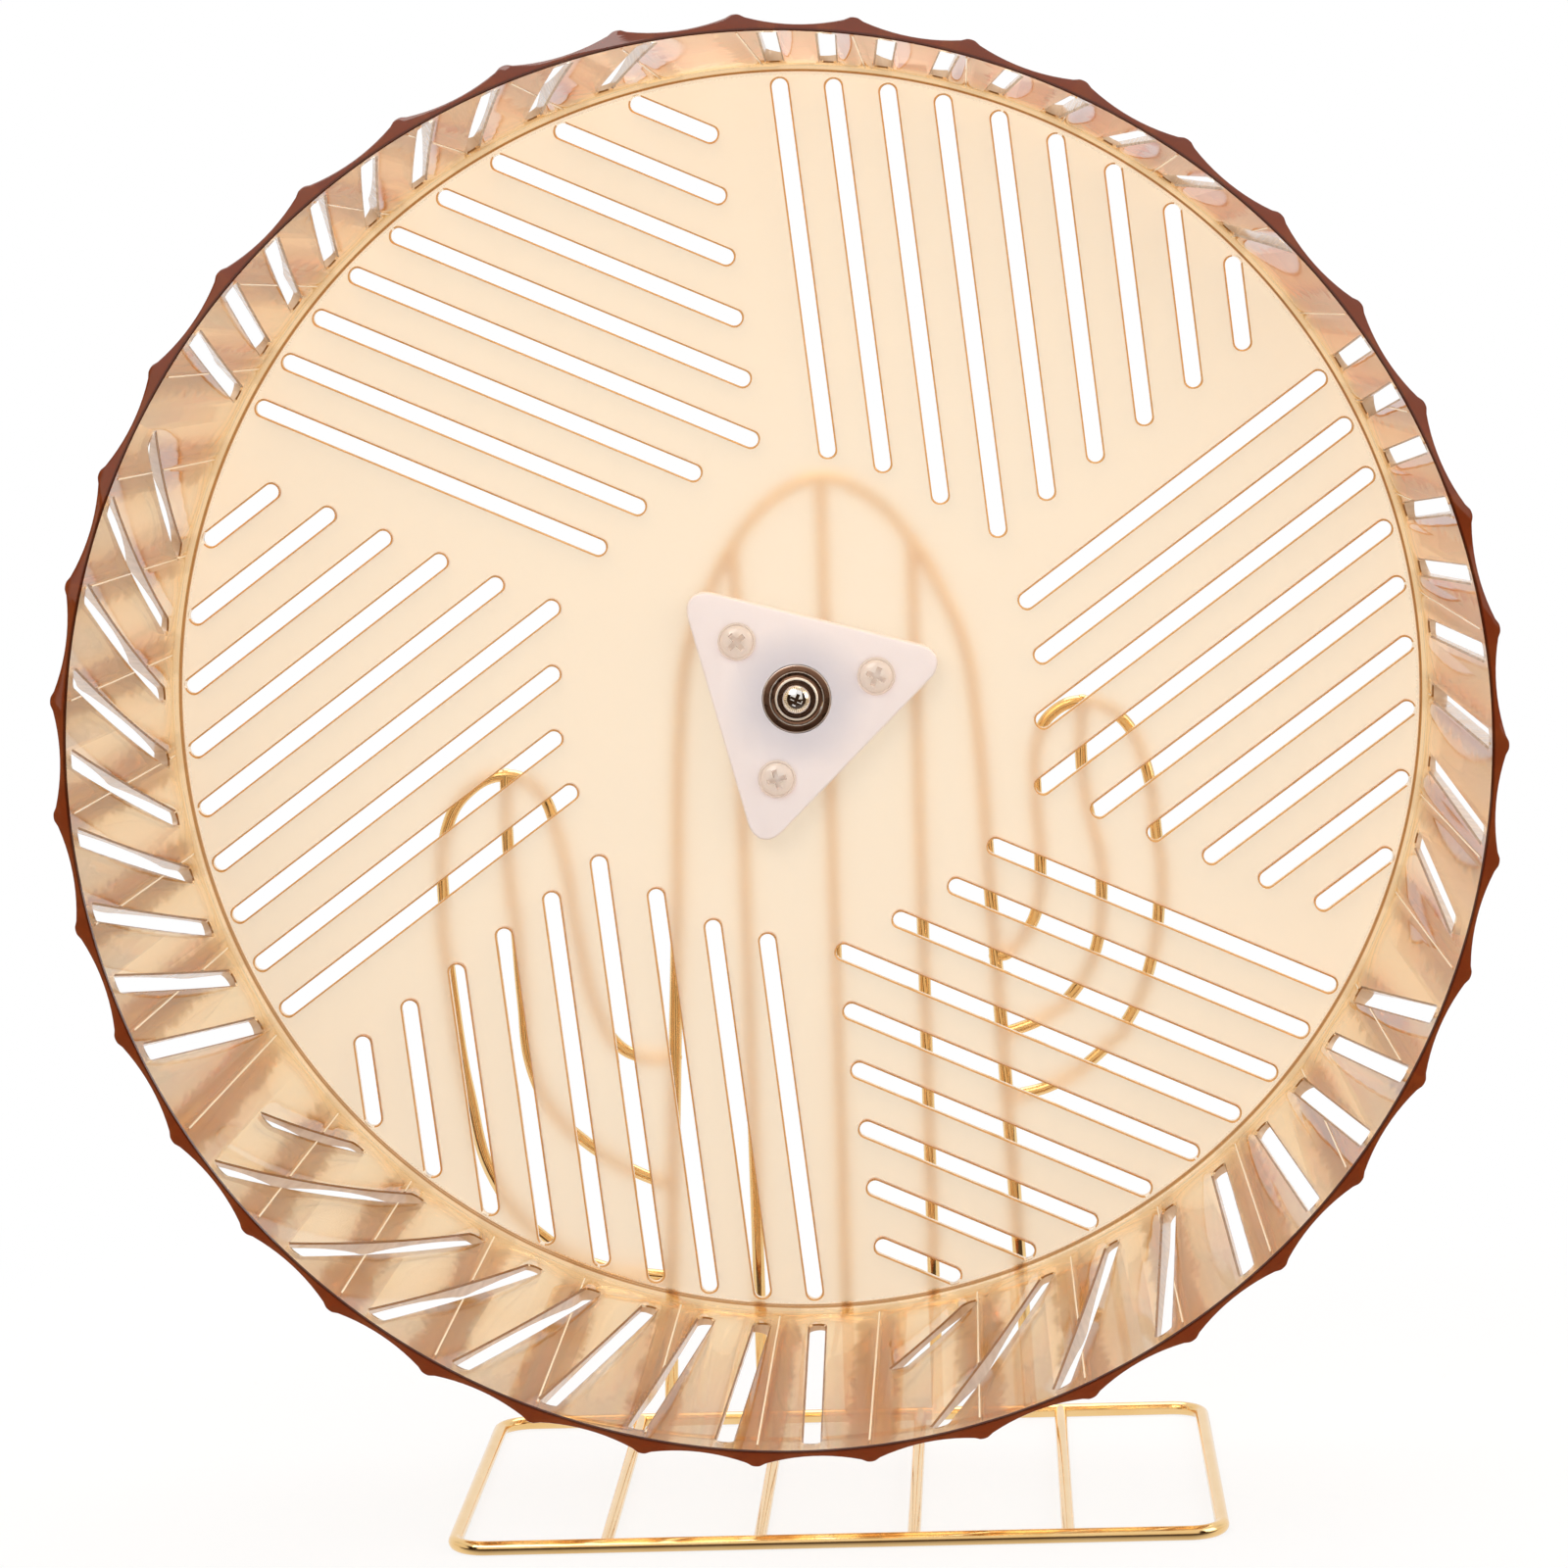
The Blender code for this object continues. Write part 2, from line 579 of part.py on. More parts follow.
def build_bearing(steel, dark, wheel_axis, cage_axis):
    """Shielded ball bearing: outer ring on the wheel, inner ring on the axle."""
    front, back = BEARING_FRONT, BEARING_BACK
    chamfer = BEARING_CHAMFER
    outer = [(OUTER_LAND, front), (BEARING_OUTER - chamfer, front),
             (BEARING_OUTER, front + chamfer), (BEARING_OUTER, back - chamfer),
             (BEARING_OUTER - chamfer, back), (OUTER_LAND, back)]
    turned("bearing_outer_ring", outer + groove_points(1, OUTER_LAND), dark, wheel_axis, 28)
    bore = BEARING_BORE
    inner = [(INNER_LAND, front), (bore + chamfer, front), (bore, front + chamfer),
             (bore, back - chamfer), (bore + chamfer, back), (INNER_LAND, back)]
    fixed = add_empty("bearing_place", wheel_axis.location)
    turned("bearing_inner_ring", inner + groove_points(-1, INNER_LAND), steel, fixed, 24)
    for name, start in (("bearing_front_shield", front + SHIELD_RECESS),
                        ("bearing_rear_shield", back - SHIELD_RECESS - SHIELD_THICKNESS)):
        profile = tube_profile(INNER_LAND + FIT_GAP, OUTER_LAND - FIT_GAP, start,
                               start + SHIELD_THICKNESS)
        turned(name, profile, dark, wheel_axis, 28)
    middle = (front + back) / 2
    cage = turned("bearing_cage", tube_profile(CAGE_INNER, CAGE_OUTER, middle - CAGE_WIDTH / 2,
                                               middle + CAGE_WIDTH / 2), steel, cage_axis, 28)
    angles = [number * 2 * pi / BALL_COUNT for number in range(BALL_COUNT)]
    places = [polar(PITCH_RADIUS, angle, middle) for angle in angles]
    pockets = bmesh.new()
    pocket = BALL_RADIUS + POCKET_GAP
    for angle, place in zip(angles, places):
        outward = Matrix.Rotation(pi / 2 - angle, 4, "Y")
        bmesh.ops.create_cone(pockets, cap_ends=True, segments=10, radius1=pocket,
                              radius2=pocket, depth=2 * (CAGE_OUTER - CAGE_INNER),
                              matrix=Matrix.Translation(place) @ outward)
    add_boolean(cage, hide_cutter(add_object("cage_pockets", mesh_from(pockets, "cage_pockets"),
                                             None, cage_axis)))
    for number, place in enumerate(places, 1):
        ball = bmesh.new()
        bmesh.ops.create_uvsphere(ball, u_segments=10, v_segments=7, radius=BALL_RADIUS)
        mesh = mesh_from(ball, "bearing_ball")
        shade_round(mesh)
        add_object(f"bearing_ball_{number}", mesh, steel, cage_axis).location = place


# Axle

def build_axle(chrome, steel, gold, place):
    """Bolt through the bearing, spacer, welded sleeve and nut."""
    axle = add_empty("axle_place", place)
    profile = domed_head(AXLE_HEAD_RADIUS, AXLE_HEAD_HEIGHT, AXLE_HEAD_BACK)
    profile += [(AXLE_HEAD_RADIUS, AXLE_HEAD_BACK), (AXLE_RADIUS, AXLE_HEAD_BACK),
                (AXLE_RADIUS, AXLE_END), (0, AXLE_END)]
    bolt = turned("axle_bolt", profile, chrome, axle, 20, has_bore=False)
    add_cross_recess(bolt, AXLE_HEAD_BACK - AXLE_HEAD_HEIGHT, RECESS_TURN)
    hole = AXLE_RADIUS + FIT_GAP
    turned("axle_washer", tube_profile(hole, WASHER_RADIUS, WASHER_BACK - WASHER_THICKNESS,
                                       WASHER_BACK), chrome, axle, 28)
    turned("axle_spacer", tube_profile(hole, SPACER_RADIUS, BEARING_BACK + FIT_GAP,
                                       SLEEVE_FRONT - FIT_GAP), steel, axle, 24)
    turned("axle_sleeve", tube_profile(hole, SLEEVE_RADIUS, SLEEVE_FRONT, SLEEVE_BACK),
           gold, axle, 24)
    circle = NUT_FLATS / 2 / cos(pi / 6)
    nut = turned("axle_nut", [(0, NUT_FRONT), (circle, NUT_FRONT),
                              (circle, NUT_FRONT + NUT_THICKNESS),
                              (0, NUT_FRONT + NUT_THICKNESS)], steel, axle, 6, has_bore=False)
    add_boolean(nut, turned_cutter("nut_hole", [(0, NUT_FRONT - OVERRUN), (hole, NUT_FRONT - OVERRUN),
                                                (hole, AXLE_END), (0, AXLE_END)], axle, 24))


# Stand wires, drawn in the plane of the trunk as (x, height) from the base wire

def smooth(points, step):
    """Points about one step apart on a smooth curve through the given ones."""
    path = [points[0]]
    last = len(points) - 1
    for i in range(last):
        before = points[max(i - 1, 0)]
        start, end = points[i], points[i + 1]
        after = points[min(i + 2, last)]
        count = max(1, ceil((end - start).length / step))
        for k in range(1, count + 1):
            t = k / count
            path.append(0.5 * (2 * start + (end - before) * t
                               + (2 * before - 5 * start + 4 * end - after) * t ** 2
                               + (3 * start - before - 3 * end + after) * t ** 3))
    return path


def thinned(path):
    """The path without the points where it runs nearly straight."""
    kept = [path[0]]
    for point, after in zip(path[1:], path[2:]):
        if (point - kept[-1]).angle(after - point) > TURN_LIMIT:
            kept.append(point)
    return kept + [path[-1]]


def upright(x, height):
    """A point of the trunk's plane in the world."""
    return Vector((STAND_X + x, TRUNK_Y, BASE_Z + height))


def arm_points(shares, side, reach, top):
    """Points of an arm from shares of its reach beyond the foot and of its top."""
    return [upright(side * (TRUNK_FOOT + x * reach), height * top) for x, height in shares]


def trunk_side(side):
    """One leg of the trunk from the apex down to the base wire."""
    points = [upright(side * x * TRUNK_FOOT, height * TRUNK_HEIGHT) for x, height in TRUNK_SHARES]
    return smooth(points, PATH_STEP)


def leg_point(side, height):
    """The middle of a leg's wire at a height."""
    path = trunk_side(side)
    target = BASE_Z + height
    for upper, lower in zip(path, path[1:]):
        if lower.z <= target <= upper.z:
            return upper.lerp(lower, (upper.z - target) / (upper.z - lower.z))
    return path[-1]


def wire_mesh(name, path, radius, sides, closed=False):
    """A round wire along a path, with flat ends; one of its flats lies level."""
    curve = bpy.data.curves.new(name, "CURVE")
    curve.dimensions = "3D"
    curve.bevel_depth = radius
    curve.bevel_resolution = (sides - 4) // 2
    curve.use_fill_caps = not closed
    spline = curve.splines.new("POLY")
    spline.points.add(len(path) - 1)
    for point, place in zip(spline.points, path):
        point.co = (*place, 1)
        point.tilt = pi / sides
    spline.use_cyclic_u = closed
    holder = bpy.data.objects.new(name, curve)
    bpy.context.collection.objects.link(holder)
    bpy.context.view_layer.update()
    mesh = bpy.data.meshes.new_from_object(holder.evaluated_get(bpy.context.evaluated_depsgraph_get()))
    bpy.data.objects.remove(holder, do_unlink=True)
    mesh.name = name
    bm = bmesh.new()
    bm.from_mesh(mesh)
    bmesh.ops.remove_doubles(bm, verts=bm.verts, dist=MERGE_DISTANCE)
    bmesh.ops.recalc_face_normals(bm, faces=bm.faces)
    bm.to_mesh(mesh)
    bm.free()
    return mesh


def add_wire(name, path, radius, material, sides=WIRE_SIDES, closed=False, ends_on=()):
    """A stand wire whose ends are shaped to the wires that they are welded on."""
    mesh = wire_mesh(name, path, radius, sides, closed)
    shade_round(mesh, radians(60))
    wire = add_object(name, mesh, material)
    for number, (other, other_radius, other_closed) in enumerate(ends_on, 1):
        cutter_name = f"{name}_end_{number}"
        cutter = add_object(cutter_name, wire_mesh(cutter_name, other, other_radius + WELD_GAP,
                                                   FRAME_SIDES, other_closed))
        add_boolean(wire, hide_cutter(cutter))
    return wire


def base_path():
    """Rounded rectangle of the base wire, back rod in the trunk's plane."""
    half_width = BASE_WIDTH / 2 - BASE_CORNER
    back = TRUNK_Y - BASE_CORNER
    front = TRUNK_Y - BASE_LENGTH + BASE_CORNER
    corners = ((STAND_X + half_width, back), (STAND_X - half_width, back),
               (STAND_X - half_width, front), (STAND_X + half_width, front))
    path = []
    for number, (x, y) in enumerate(corners):
        for step in range(BEND_STEPS + 1):
            angle = (number + step / BEND_STEPS) * pi / 2
            path.append(Vector((x + BASE_CORNER * cos(angle), y + BASE_CORNER * sin(angle), BASE_Z)))
    return path


def build_stand(gold):
    base = base_path()
    on_base = (base, FRAME_WIRE, True)
    add_wire("base_loop", base, FRAME_WIRE, gold, FRAME_SIDES, closed=True)
    bay = BASE_WIDTH / (CROSS_WIRE_COUNT + 1)
    for number in range(1, CROSS_WIRE_COUNT + 1):
        x = STAND_X - BASE_WIDTH / 2 + number * bay
        path = [Vector((x, TRUNK_Y - BASE_LENGTH, BASE_Z)), Vector((x, TRUNK_Y, BASE_Z))]
        add_wire(f"base_cross_wire_{number}", path, INNER_WIRE, gold, ends_on=(on_base,))

    arch = thinned(list(reversed(trunk_side(-1))) + trunk_side(1)[1:])
    on_arch = (arch, FRAME_WIRE, False)
    add_wire("trunk_arch", arch, FRAME_WIRE, gold, ends_on=(on_base,))
    for name, offset in (("trunk_left_wire", -TRUNK_WIRE_SPACING), ("trunk_centre_wire", 0.0),
                         ("trunk_right_wire", TRUNK_WIRE_SPACING)):
        path = [upright(offset, arch_height(arch, offset)), upright(offset, 0.0)]
        add_wire(name, path, INNER_WIRE, gold, ends_on=(on_arch, on_base))

    build_arm("left", -1, LEFT_ARM_REACH, LEFT_ARM_TOP, LEFT_ARM_SHARES, LEFT_MIDDLE_SHARES,
              LEFT_WELD_SHARES, LEFT_MIDDLE_WELD_SHARE, on_arch, gold)
    build_arm("right", 1, RIGHT_ARM_REACH, RIGHT_ARM_TOP, RIGHT_ARM_SHARES, RIGHT_MIDDLE_SHARES,
              RIGHT_WELD_SHARES, RIGHT_MIDDLE_WELD_SHARE, on_arch, gold)


def arch_height(arch, offset):
    """Height of the arch's middle above a place across the trunk."""
    target = STAND_X + offset
    for first, second in zip(arch, arch[1:]):
        if first.x <= target <= second.x:
            share = (target - first.x) / (second.x - first.x)
            return first.lerp(second, share).z - BASE_Z
    return 0.0


def build_arm(name, side, reach, top, loop_shares, middle_shares, welds, middle_weld, on_arch, gold):
    """One arm: a loop from the leg and back to it, and a wire down its middle."""
    points = [leg_point(side, welds[0] * top)]
    points += arm_points(loop_shares, side, reach, top)
    points.append(leg_point(side, welds[1] * top))
    loop = thinned(smooth(points, PATH_STEP))
    add_wire(f"{name}_arm_loop", loop, INNER_WIRE, gold, ends_on=(on_arch,))
    points = arm_points(middle_shares, side, reach, top)
    points.append(leg_point(side, middle_weld * top))
    add_wire(f"{name}_arm_middle_wire", thinned(smooth(points, PATH_STEP)), INNER_WIRE, gold,
             ends_on=(on_arch, (loop, INNER_WIRE, False)))


def build():
    clear_scene()
    amber = make_material("amber moulded plastic", "E0B98A", 0.12, 0.0, 0.7)
    milky = make_material("milky moulded plastic", "EDDFE0", 0.35, 0.0, 0.2)
    clear = make_material("clear moulded plastic", "F2E6E2", 0.10, 0.0, 0.8)
    dark = make_material("ground bearing steel, oiled", "4A3C38", 0.25, 1.0)
    steel = make_material("polished bearing steel", "BDB8B4", 0.18, 1.0)
    chrome = make_material("chromed steel", "E4E2E0", 0.05, 1.0)
    gold = make_material("gold-plated steel wire", "D8A860", 0.12, 1.0)

    centre = Vector((0, DISC_Y, AXLE_Z))
    wheel_axis = add_empty("wheel_axis", centre)
    cage_axis = add_empty("cage_axis", centre)
    drum = build_drum(amber, wheel_axis)
    shade_round(drum.data, radians(25))
    build_hub_plate(milky, wheel_axis)
    build_hub_screws(clear, wheel_axis)
    build_bearing(steel, dark, wheel_axis, cage_axis)
    build_axle(chrome, steel, gold, centre)
    build_stand(gold)


build()
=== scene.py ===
# %% [markdown]
# # A hamster's running wheel on a gold wire stand
# The wheel is a shallow drum of clear amber plastic with a slotted floor. It turns on a
# small ball bearing in front of a stand that is bent from gold-plated wire. The measured CAD
# model is loaded first. It is right in size and motion but plain, so the pieces that show are
# modelled again here with their true roundings, and every piece gets a finish.

# %% Load the measured model
import json
from math import asin, atan2, cos, pi, radians, sin, sqrt, tan

import bmesh
import bpy
from mathutils import Matrix, Vector

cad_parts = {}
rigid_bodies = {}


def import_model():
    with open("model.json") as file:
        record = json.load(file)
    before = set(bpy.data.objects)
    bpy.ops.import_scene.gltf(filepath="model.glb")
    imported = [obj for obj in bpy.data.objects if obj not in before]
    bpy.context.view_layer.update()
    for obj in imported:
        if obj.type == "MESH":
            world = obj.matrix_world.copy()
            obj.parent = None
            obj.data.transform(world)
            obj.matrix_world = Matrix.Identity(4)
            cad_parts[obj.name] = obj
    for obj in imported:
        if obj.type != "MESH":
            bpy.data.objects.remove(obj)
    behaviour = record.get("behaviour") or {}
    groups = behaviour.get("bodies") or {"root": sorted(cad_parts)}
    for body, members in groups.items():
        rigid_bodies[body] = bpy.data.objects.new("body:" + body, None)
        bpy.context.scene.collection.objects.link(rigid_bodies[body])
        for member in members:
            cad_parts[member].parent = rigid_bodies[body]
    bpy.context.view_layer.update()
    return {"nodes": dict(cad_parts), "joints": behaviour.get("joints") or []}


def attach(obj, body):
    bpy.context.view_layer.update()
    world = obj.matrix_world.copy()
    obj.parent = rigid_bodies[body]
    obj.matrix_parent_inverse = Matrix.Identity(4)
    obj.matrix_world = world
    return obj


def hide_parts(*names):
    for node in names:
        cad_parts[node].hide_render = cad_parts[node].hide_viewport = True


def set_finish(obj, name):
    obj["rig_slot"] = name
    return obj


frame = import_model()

MM = 0.001                          # every size below is written in millimetres

# %% [markdown]
# ## Camera
# The photograph was taken from in front of the wheel, a little to the right and a hand's width
# above the axle, with a long lens. The camera looks slightly down, so the drum's wall is thin
# at the top and shows more at the bottom.

# %% Place the camera
CAMERA_PLACE = Vector((38.023, -880.143, 230.490)) * MM
CAMERA_RIGHT = Vector((0.998590, 0.041113, -0.033595))
CAMERA_UP = Vector((0.028846, 0.111099, 0.993391))
LENS = 111.14                       # mm on a sensor 36 mm wide

bpy.ops.object.camera_add()
camera = bpy.context.object
camera.name = "camera"
turn = Matrix((CAMERA_RIGHT, CAMERA_UP, CAMERA_RIGHT.cross(CAMERA_UP))).transposed()
camera.matrix_world = Matrix.Translation(CAMERA_PLACE) @ turn.to_4x4()
camera.data.lens = LENS
camera.data.sensor_width = 36
camera.data.clip_start = 0.05
camera.data.clip_end = 50
bpy.context.scene.camera = camera
print("camera at", CAMERA_PLACE, "with a lens of", LENS, "mm")

# %% [markdown]
# ## Small helpers
# Modelling by hand is a rhythm: add a primitive, go into edit mode, pick some vertices, edges
# or faces, and move, extrude or bevel them. These helpers give that rhythm in code. A new
# primitive's place is applied at once, so that its mesh is in the model's own space.

# %% Helpers for modelling
AXLE = Vector(frame["joints"][0]["pos_m"])
DISC_Y = AXLE.y + 0.8 * MM          # front face of the drum's floor


def started(name):
    """Name the primitive that was just added and put its place into its mesh."""
    piece = bpy.context.object
    piece.name = name
    piece.data.name = name
    bpy.ops.object.transform_apply(location=True, rotation=True, scale=True)
    return piece


def only(piece):
    """Select one object and nothing else."""
    if bpy.context.object and bpy.context.object.mode != "OBJECT":
        bpy.ops.object.mode_set(mode="OBJECT")
    bpy.ops.object.select_all(action="DESELECT")
    piece.select_set(True)
    bpy.context.view_layer.objects.active = piece


def edit(piece):
    only(piece)
    bpy.ops.object.mode_set(mode="EDIT")


def done():
    bpy.ops.object.mode_set(mode="OBJECT")


def pick(kind, test):
    """In edit mode, select the VERT, EDGE or FACE items that pass a test."""
    bpy.ops.mesh.select_mode(type=kind)
    bpy.ops.mesh.select_all(action="DESELECT")
    mesh = bpy.context.object.data
    bm = bmesh.from_edit_mesh(mesh)
    for item in {"VERT": bm.verts, "EDGE": bm.edges, "FACE": bm.faces}[kind]:
        if test(item):
            item.select_set(True)
    bm.select_flush_mode()
    bmesh.update_edit_mesh(mesh)


def pick_at(kind, y):
    """Select the edges or faces that lie at one depth."""
    pick(kind, lambda item: all(abs(v.co.y - y) < MM / 100 for v in item.verts))


def pick_all():
    bpy.ops.mesh.select_all(action="SELECT")


def bevel(offset, segments, affect="EDGES"):
    bpy.ops.mesh.bevel(offset=offset, segments=segments, affect=affect)


def scale_about(x_factor, z_factor, centre):
    bpy.ops.transform.resize(value=(x_factor, 1, z_factor), center_override=centre)


def extrude_faces(y=0.0, z=0.0):
    bpy.ops.mesh.extrude_region_move(TRANSFORM_OT_translate={"value": (0, y, z)})


def radius_of(place):
    return sqrt(place.x ** 2 + (place.z - AXLE.z) ** 2)


def angle_of(place):
    """Angle round the axle, anticlockwise from +X seen from the front."""
    return atan2(place.z - AXLE.z, place.x)


def turned_outwards(piece):
    """Merge doubles and turn every face outwards."""
    edit(piece)
    pick_all()
    bpy.ops.mesh.remove_doubles(threshold=0.001 * MM)
    bpy.ops.mesh.normals_make_consistent(inside=False)
    done()


def smooth_by_angle(piece, degrees):
    only(piece)
    bpy.ops.object.shade_smooth_by_angle(angle=radians(degrees))


def copy_of(piece, name, matrix):
    """A copy with a mesh of its own, moved by a matrix."""
    twin = piece.copy()
    twin.data = piece.data.copy()
    twin.name = name
    twin.data.name = name
    twin.data.transform(matrix)
    bpy.context.collection.objects.link(twin)
    return twin


def joined(pieces, name):
    """Join several objects into one."""
    only(pieces[0])
    for piece in pieces:
        piece.select_set(True)
    bpy.ops.object.join()
    result = bpy.context.object
    result.name = name
    return result


def removed(*pieces):
    for piece in pieces:
        bpy.data.objects.remove(piece, do_unlink=True)


def cut(piece, cutter, operation="DIFFERENCE"):
    """Apply a boolean and throw the cutter away."""
    only(piece)
    modifier = piece.modifiers.new(cutter.name, "BOOLEAN")
    modifier.operation = operation
    modifier.solver = "EXACT"
    modifier.object = cutter
    bpy.ops.object.modifier_apply(modifier=modifier.name)
    removed(cutter)


def told(piece):
    """Say what was made."""
    print(f"{piece.name}: {len(piece.data.vertices)} vertices, {len(piece.data.polygons)} faces")


# %% [markdown]
# ## The drum's fluted wall
# The real drum is one injection moulding. Outside, its wall is hollowed by shallow flutes that
# meet in soft crests. Inside it is smooth and round, and it opens by 2 mm towards the front so
# that it can leave its mould. A circle with twelve columns of points for each flute is a good
# start: the columns are scaled one kind at a time until the ring has its flutes. Then the face
# is extruded forward to the lip and fluted again there. The cavity is cut out of this block.

# %% Drum sizes
DEPTH = 100 * MM                    # front of the floor to the lip
BACK_RADIUS = 119 * MM
LIP_RADIUS = 121.1 * MM
FLOOR = 2 * MM
THIN_WALL = 1.1 * MM
CREST_WALL = 2.9 * MM
FLUTES = 39
COLUMNS = 12                        # of points for each flute
FIRST_CREST = radians(8.1)
FLUTE_ANGLE = 2 * pi / FLUTES


def wall_at(share, base):
    """Wall at a share of a flute, an arc hollowed between two crests."""
    crest, valley = base + CREST_WALL, base + THIN_WALL
    half_chord = crest * sin(FLUTE_ANGLE / 2)
    hollow = crest * cos(FLUTE_ANGLE / 2) - valley
    arc = (half_chord ** 2 + hollow ** 2) / (2 * hollow)
    angle = (share - 0.5) * FLUTE_ANGLE
    centre = valley + arc
    return centre * cos(angle) - sqrt(arc ** 2 - (centre * sin(angle)) ** 2) - base


def column_of(place):
    """How many columns a point is from the nearest crest."""
    share = ((angle_of(place) - FIRST_CREST) / FLUTE_ANGLE) % 1
    column = round(share * COLUMNS) % COLUMNS
    return min(column, COLUMNS - column)


def flute_ring(y, base):
    """Scale the columns of the ring at a depth, one kind at a time, to the fluted outline."""
    for column in range(COLUMNS // 2 + 1):
        pick("VERT", lambda v: abs(v.co.y - y) < MM / 10 and column_of(v.co) == column)
        bm = bmesh.from_edit_mesh(bpy.context.object.data)
        now = max(radius_of(v.co) for v in bm.verts if v.select)
        factor = (base + wall_at(column / COLUMNS, base)) / now
        scale_about(factor, factor, (0, y, AXLE.z))


# %% Model the solid outside of the drum
back_y = DISC_Y + FLOOR
lip_y = DISC_Y - DEPTH
CREST_ROUNDING = 0.8 * MM           # cut back from the crest's point along both flutes
BACK_ROUNDING = 0.35 * MM
LIP_ROUNDING = 0.2 * MM
OVERRUN = 1.0 * MM                  # how far a cutter runs past what it cuts

bpy.ops.mesh.primitive_circle_add(vertices=FLUTES * COLUMNS, radius=BACK_RADIUS, fill_type="NGON",
                                  location=(0, back_y, AXLE.z), rotation=(pi / 2, -FIRST_CREST, 0))
drum = started("wheel_drum_moulding")
edit(drum)
flute_ring(back_y, BACK_RADIUS)
pick("VERT", lambda v: column_of(v.co) == 0)
bevel(CREST_ROUNDING, 5, "VERTICES")
pick_all()
extrude_faces(y=-FLOOR - DEPTH)
flute_ring(lip_y, LIP_RADIUS)
pick_all()
bpy.ops.mesh.normals_make_consistent(inside=False)
pick_at("EDGE", back_y)
bevel(BACK_ROUNDING, 3)
pick_at("EDGE", lip_y)
bevel(LIP_ROUNDING, 2)
done()
told(drum)

# %% [markdown]
# Behind the floor the moulding carries a shallow cup for the bearing and three posts for the
# screws. They are merged into the drum, so that light passes it as one piece of plastic.

# %% Add the bearing cup and the screw posts
CUP_RADIUS = 10 * MM
CUP_BACK = DISC_Y + 3.5 * MM
CUP_HOLE = 5 * MM
POST_RADIUS = 3.3 * MM
POST_BACK = DISC_Y + 7 * MM
PILOT_RADIUS = 1.5 * MM
SCREW_CIRCLE = 15.7 * MM
SCREW_ANGLE = radians(14.4)
SEAT_RADIUS = 6.6 * MM
SEAT_BACK = DISC_Y + 2 * MM

screw_places = []
for n in range(3):
    angle = SCREW_ANGLE + n * 2 * pi / 3
    screw_places.append(Vector((SCREW_CIRCLE * cos(angle), 0, AXLE.z + SCREW_CIRCLE * sin(angle))))


def rod(name, radius, front, back, place, sides=64, rounding=0.0):
    """A round rod along Y, with its back edge rounded if asked."""
    bpy.ops.mesh.primitive_cylinder_add(vertices=sides, radius=radius, depth=back - front,
                                        location=(place.x, (front + back) / 2, place.z),
                                        rotation=(pi / 2, 0, 0))
    piece = started(name)
    if rounding:
        edit(piece)
        pick_at("EDGE", back)
        bevel(rounding, 3)
        done()
    return piece


inside_floor = DISC_Y + FLOOR / 2
cut(drum, rod("cup", CUP_RADIUS, inside_floor, CUP_BACK, AXLE, 96, 0.5 * MM), "UNION")
for n, place in enumerate(screw_places):
    cut(drum, rod(f"post_{n}", POST_RADIUS, inside_floor, POST_BACK, place, 48, 0.4 * MM), "UNION")
told(drum)

# %% [markdown]
# The cavity is a slightly conical plug, as the core of the real mould is. Its far edge is
# rounded, which leaves the fillet between floor and wall. The inside has no flutes, so
# cutting it is easier than modelling it on the same mesh.

# %% Hollow the drum
CORNER_ROUNDING = 1.0 * MM

flare = (LIP_RADIUS - BACK_RADIUS) / DEPTH
plug_depth = DEPTH - LIP_ROUNDING
plug_front = LIP_RADIUS - flare * LIP_ROUNDING
bpy.ops.mesh.primitive_cone_add(vertices=FLUTES * COLUMNS, radius1=plug_front,
                                radius2=BACK_RADIUS, depth=plug_depth,
                                location=(0, DISC_Y - plug_depth / 2, AXLE.z),
                                rotation=(-pi / 2, -FIRST_CREST, 0))
plug = started("cavity_plug")
edit(plug)
pick_at("FACE", DISC_Y - plug_depth)
extrude_faces(y=-LIP_ROUNDING - OVERRUN)
factor = (plug_front + LIP_ROUNDING + OVERRUN) / plug_front
scale_about(factor, factor, (0, lip_y - OVERRUN, AXLE.z))
pick_at("EDGE", DISC_Y)
bevel(CORNER_ROUNDING, 5)
done()
cut(drum, plug)
told(drum)

# %% Cut the bearing's seat and the screw holes
cut(drum, rod("seat", SEAT_RADIUS, DISC_Y - OVERRUN, SEAT_BACK, AXLE, 96))
cut(drum, rod("cup_hole", CUP_HOLE, DISC_Y, CUP_BACK + OVERRUN, AXLE, 96))
for n, place in enumerate(screw_places):
    cut(drum, rod(f"pilot_{n}", PILOT_RADIUS, DISC_Y - OVERRUN, POST_BACK + OVERRUN, place, 32))
told(drum)

# %% [markdown]
# Behind every crest a hair-fine line runs along the inside of the wall, from near the floor
# to near the lip, and catches the light. One thin bar is laid on the wall's slope, copied to
# all 39 crests and merged in.

# %% Add the fine lines
LINE_WIDTH = 0.4 * MM
LINE_RISE = 0.15 * MM
LINE_BACK = 4.0 * MM                # from the floor to the line's end
LINE_FRONT = 3.0 * MM               # from the lip to the line's other end


def laid(piece, along, through, origin):
    """Lay a piece so that its X runs along one direction and its Z through the wall."""
    z_axis = through.normalized()
    x_axis = (along - along.dot(z_axis) * z_axis).normalized()
    matrix = Matrix((x_axis, z_axis.cross(x_axis), z_axis)).transposed().to_4x4()
    matrix.translation = origin
    piece.data.transform(matrix)


def laid_on_wall(piece, middle):
    """Lay a piece along the inside of the wall, with its middle at a depth from the floor."""
    laid(piece, Vector((flare, -1, 0)), Vector((1, flare, 0)),
         Vector((BACK_RADIUS - flare * middle, DISC_Y + middle, AXLE.z)))


